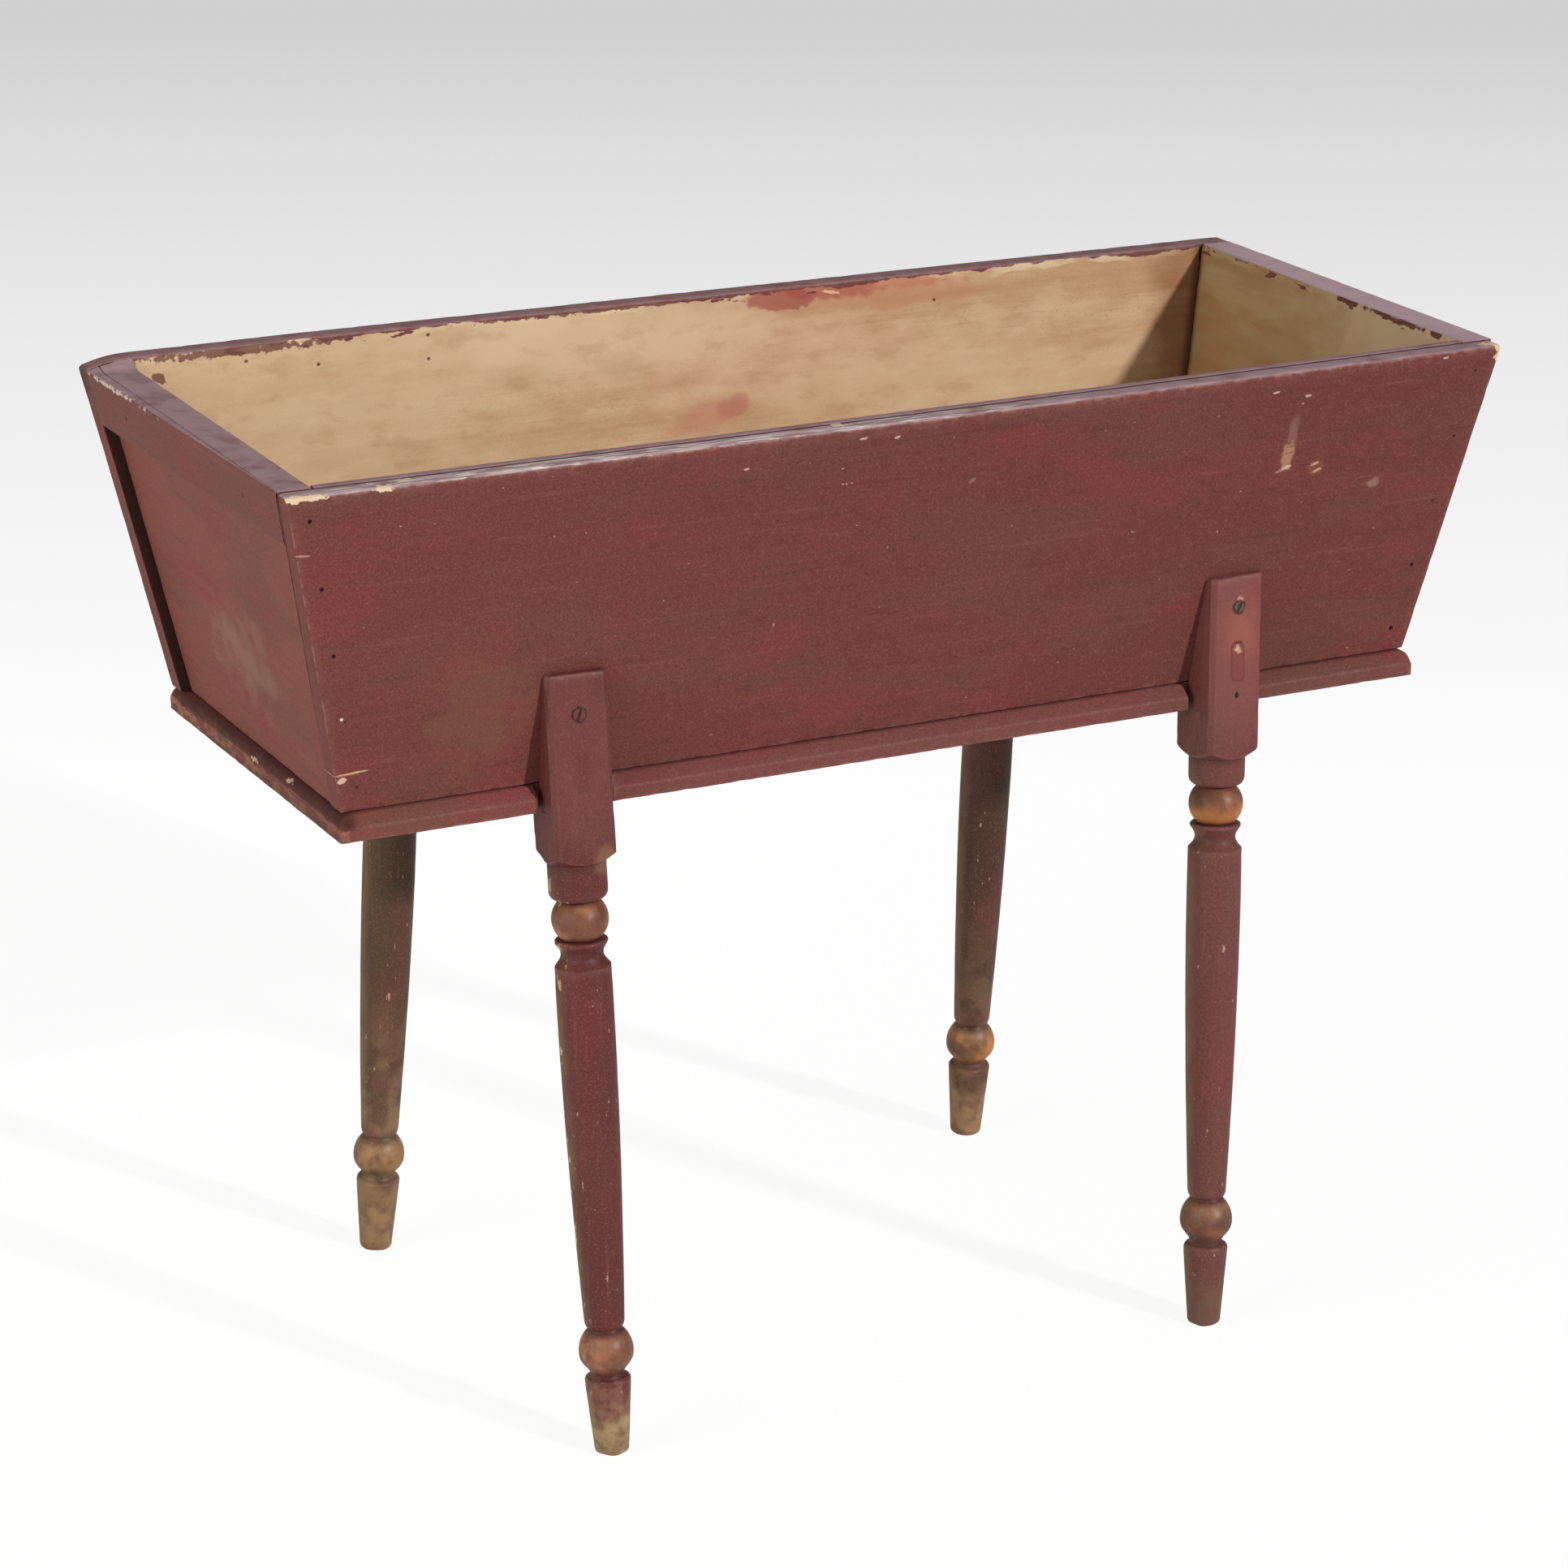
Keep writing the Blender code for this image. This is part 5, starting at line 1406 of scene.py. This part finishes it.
def screw_model(make, given):
    """Countersunk head with a slot, on a tapering shank; the face of the head is at height 0."""
    head = sunk_cone(make, 28, given["Head Radius"], given["Shank Radius"], given["Head Depth"])
    size = make("ShaderNodeCombineXYZ", X=given["Slot Width"], Y=given["Slot Length"], Z=given["Slot Depth"])
    slot = make("GeometryNodeMeshCube", Size=size.outputs[0])
    slotted = make("GeometryNodeMeshBoolean", {"operation": "DIFFERENCE"}, Mesh_1=head,
                   Mesh_2=slot.outputs["Mesh"])
    shank = sunk_cone(make, 20, given["Shank Radius"], SCREW_POINT_RADIUS, given["Length"],
                      given["Head Depth"])
    return joined(make, slotted.outputs["Mesh"], shank)


finish = Finish("dull_screw_steel")
rust = finish.noise(600, 3)
paint = old_paint(finish, GRAIN_X, 0.0)[0]
steel = finish.ramp(rust, (0.35, srgb(82, 72, 60)), (0.55, srgb(96, 84, 70)), (0.75, srgb(114, 102, 86)))
colour = finish.mix(finish.attribute("bare"), paint, steel)
# Painted shade in the slots, darker the deeper
colour = finish.tint(colour, srgb(34, 16, 13), 0.9, finish.attribute("below"), 0.1, 0.9)
feed(finish.shader.inputs["Metallic"], 0.3)
screw_material = finish.done(colour, finish.band(rust, 0.3, 0.7, 0.4, 0.65), rust, FINE_RELIEF)
screw_sizes = {"Head Radius": 0.0043, "Shank Radius": 0.0021, "Head Depth": 0.0032, "Length": 0.0245,
               "Slot Width": 0.0019, "Slot Length": 0.012, "Slot Depth": 0.0024}
heads = []
for leg_name, leg_place in LEG_PLACES.items():
    pin = tongue_pin(leg_place, SCREW_BELOW_TOP, -SCREW_PROUD)
    bare, spin = SCREW_LOOKS.get(leg_name, SCREW_LOOK_HIDDEN)
    heads.append((pin.translation, pin.col[2].to_3d(), bare, spin))
screw_tree = fixing_tree("screws", screw_sizes, screw_model)
screw_names = [leg_name + "_screw" for leg_name in LEG_PLACES]
add_fixings("tongue_screws", screw_tree, screw_sizes, heads, "screw_steel", screw_material, screw_names)

# Nails: flat-headed cut nails through the long boards into the ends, up through the bottom board, through
# the rail and through the strip. Many heads are painted over, and the others have rusted dark.
NAIL_PROUD = 0.00015
NAIL_POINT_RADIUS = 0.0003
RAIL_NAIL_LENGTH = 0.022
STRIP_NAIL_LENGTH = 0.016
SIDE_NAILS = 5
SIDES = ((-1, "front"), (1, "back"))
SIDE_NAIL_FIRST = 0.018
SIDE_NAIL_PITCH = 0.0495
SIDE_NAIL_SHARE = {-1: 0.52, 1: 0.80}
RUSTED_NAILS = {("front", "left"): (0, 1, 2), ("front", "right"): (3, 4)}
FLOOR_NAIL_SPREAD = BOTTOM_LENGTH * 0.40
FLOOR_NAIL_END_SPREAD = BOTTOM_WIDTH * 0.27
RAIL_NAIL_SPREAD = TOP_WIDTH * 0.28
STRIP_NAIL_SPREAD = TOP_LENGTH * 0.33


def nail_model(make, given):
    """Low domed head on a tapering shank; the face of the head is at height 0."""
    head = sunk_cone(make, 20, given["Crown Radius"], given["Head Radius"], given["Head Depth"])
    shank = sunk_cone(make, 12, given["Shank Radius"], NAIL_POINT_RADIUS, given["Length"])
    return joined(make, head, shank)


finish = Finish("rusted_nail_iron")
paint = old_paint(finish, GRAIN_X, 0.3)[0]
rust = finish.ramp(finish.noise(1200, 3), (0.35, srgb(34, 22, 20)), (0.65, srgb(66, 42, 34)))
colour = finish.mix(finish.attribute("bare"), paint, rust)
nail_material = finish.done(colour, 0.65, finish.noise(1500, 3), FINE_RELIEF)
nail_sizes = {"Head Radius": 0.0019, "Crown Radius": 0.0015, "Head Depth": 0.0006, "Shank Radius": 0.0012,
              "Length": 0.040}
nail_tree = fixing_tree("nails", nail_sizes, nail_model)


def nail_head(place, out, bare):
    """Head of a nail that stands a little proud of a face, on the way out of it."""
    return Vector(place) + out * NAIL_PROUD, out, bare, 0


def add_nails(name, heads, nodes, length=nail_sizes["Length"]):
    """Place one group of nails of the given length."""
    add_fixings(name, nail_tree, {**nail_sizes, "Length": length}, heads, "nail_iron", nail_material, nodes)


heads = []
names = []
for side, side_word in SIDES:
    out = Vector((0, side, -SIDE_SLOPE)).normalized()
    for end, end_word in ENDS:
        for count in range(SIDE_NAILS):
            z = HEIGHT - SIDE_NAIL_FIRST - SIDE_NAIL_PITCH * count
            y = side * side_y(z)
            x = panel_x(end, y, z, PANEL_ACROSS * SIDE_NAIL_SHARE[end])
            bare = 1 if count in RUSTED_NAILS.get((side_word, end_word), ()) else 0
            heads.append(nail_head((x, y, z), out, bare))
            names.append(f"{side_word}_{end_word}_nail_{count + 1}")
add_nails("side_nails", heads, names)

heads = []
names = []
out = Vector((0, 0, -1))
for side, side_word in SIDES:
    for end, end_word in ENDS:
        x = MIDDLE_X + end * FLOOR_NAIL_SPREAD
        heads.append(nail_head((x, side * (BOTTOM_WIDTH - BOARD_ACROSS) / 2, FLOOR_UNDER), out, 1))
        names.append(f"floor_{side_word}_{end_word}_nail")
        y = side * FLOOR_NAIL_END_SPREAD
        heads.append(nail_head((panel_x(end, y, FLOOR_TOP, PANEL_ACROSS / 2), y, FLOOR_UNDER), out, 1))
        names.append(f"floor_end_{end_word}_{side_word}_nail")
add_nails("floor_nails", heads, names)

heads = []
out = Vector((-1, 0, -END_SLOPE)).normalized()
for side in (-1, 1):
    z = HEIGHT - RAIL_HEIGHT / 2
    heads.append(nail_head((MIDDLE_X - end_x(z), side * RAIL_NAIL_SPREAD, z), out, 0))
add_nails("rail_nails", heads, ["rail_front_nail", "rail_back_nail"], RAIL_NAIL_LENGTH)

heads = []
out = Vector((0, 1, SIDE_SLOPE)).normalized()
for end in (-1, 1):
    z = HEIGHT - STRIP_HEIGHT / 2
    x = end * STRIP_NAIL_SPREAD
    y = -(side_y(z) - BOARD_ACROSS - CLEARANCE - STRIP_ACROSS) - front_bow(x, z)
    heads.append(nail_head((MIDDLE_X + x, y, z), out, 1))
add_nails("strip_nails", heads, ["strip_left_nail", "strip_right_nail"], STRIP_NAIL_LENGTH)

# Room: a pale paper floor that turns grey far behind and keeps a faint shadow, one main light from the right
# front, a soft fill from the left and an even sky.
HEADING = Vector((0.458, 0.889, 0))
ROOM_HALF_WIDTH = 14
ROOM_FRONT = -8
ROOM_BACK = 20
PAPER = (0.93, 0.93, 0.93, 1)
PAPER_GLOW = 1.04
PAPER_GLOW_SHARE = 0.88
WHITE = (1, 1, 1, 1)
FAR_GREY = (0.62, 0.62, 0.62, 1)
FAR_REACH = 6.0
SKY_STRENGTH = 0.25
SUN_ENERGY = 2.28
SUN_ANGLE = math.radians(3)
SUN_HEADING = Vector((-0.383, 0.815, -0.435))
FILL_SIZE = 2.5
FILL_ENERGY = 58
FILL_COLOUR = (1.0, 0.97, 0.88)
FILL_PLACE = (-3.2, -0.7, 1.3)
FILL_HEADING = Vector((3.2, 0.7, -0.8))


def shader_mix(finish, share, first, second):
    """Two shaders mixed by a share."""
    node = finish.make("ShaderNodeMixShader")
    for socket, value in zip(node.inputs, (share, first, second)):
        feed(socket, value)
    return node.outputs["Shader"]


floor_mesh = bpy.data.meshes.new("floor")
corners = [(-ROOM_HALF_WIDTH, ROOM_FRONT, 0), (ROOM_HALF_WIDTH, ROOM_FRONT, 0),
           (ROOM_HALF_WIDTH, ROOM_BACK, 0), (-ROOM_HALF_WIDTH, ROOM_BACK, 0)]
floor_mesh.from_pydata(corners, [], [(0, 1, 2, 3)])
add_object("floor", floor_mesh)
finish = Finish("floor_paper")
feed(finish.shader.inputs["Base Color"], PAPER)
feed(finish.shader.inputs["Roughness"], 1.0)
feed(finish.shader.inputs["Specular IOR Level"], 0.0)
along = finish.make("ShaderNodeVectorMath", {"operation": "DOT_PRODUCT"})
feed(along.inputs[0], finish.place)
feed(along.inputs[1], HEADING)
away = finish.math("DIVIDE", along.outputs["Value"], FAR_REACH)
grey = finish.ramp(away, (0.2, WHITE), (0.86, FAR_GREY))
glow = finish.make("ShaderNodeEmission", Color=grey, Strength=PAPER_GLOW)
seen = finish.make("ShaderNodeLightPath").outputs["Is Camera Ray"]
paper = shader_mix(finish, finish.times(seen, PAPER_GLOW_SHARE), finish.shader.outputs["BSDF"],
                   glow.outputs["Emission"])
from_below = finish.make("ShaderNodeNewGeometry").outputs["Backfacing"]
clear = finish.make("ShaderNodeBsdfTransparent").outputs["BSDF"]
feed(finish.nodes["Material Output"].inputs["Surface"], shader_mix(finish, from_below, paper, clear))
floor_mesh.materials.append(finish.material)

world = bpy.data.worlds.new("studio")
world.use_nodes = True
feed(world.node_tree.nodes["Background"].inputs["Color"], WHITE)
feed(world.node_tree.nodes["Background"].inputs["Strength"], SKY_STRENGTH)
bpy.context.scene.world = world

sun = bpy.data.lights.new("main_light", "SUN")
sun.energy = SUN_ENERGY
sun.angle = SUN_ANGLE
add_object("main_light", sun).rotation_euler = SUN_HEADING.to_track_quat("-Z", "Y").to_euler()

fill = bpy.data.lights.new("left_fill", "AREA")
fill.size = FILL_SIZE
fill.energy = FILL_ENERGY
fill.color = FILL_COLOUR
fill_object = add_object("left_fill", fill)
fill_object.location = FILL_PLACE
fill_object.rotation_euler = FILL_HEADING.to_track_quat("-Z", "Y").to_euler()

# Camera: where the photograph was taken from, with its place, its turns and its lens fitted to the corners
# of the box and to the feet.
CAMERA_PLACE = (-1.69432, -3.26332, 1.64491)
AZIMUTH = math.radians(-27.28691)
ELEVATION = math.radians(18.72107)
ROLL = math.radians(0.32506)
SENSOR_WIDTH = 36
LENS = 121.04
camera_data = bpy.data.cameras.new("camera")
camera_data.sensor_width = SENSOR_WIDTH
camera_data.lens = LENS
camera = add_object("camera", camera_data)
level_back = Vector((math.sin(AZIMUTH), -math.cos(AZIMUTH), 0)) * math.cos(ELEVATION)
back = level_back + Vector((0, 0, math.sin(ELEVATION)))
level_right = Vector((math.cos(AZIMUTH), math.sin(AZIMUTH), 0))
level_up = back.cross(level_right)
right = level_right * math.cos(ROLL) + level_up * math.sin(ROLL)
upward = level_up * math.cos(ROLL) - level_right * math.sin(ROLL)
camera.matrix_world = Matrix.Translation(CAMERA_PLACE) @ Matrix((right, upward, back)).transposed().to_4x4()
bpy.context.scene.camera = camera
bpy.context.scene.view_settings.view_transform = "Standard"
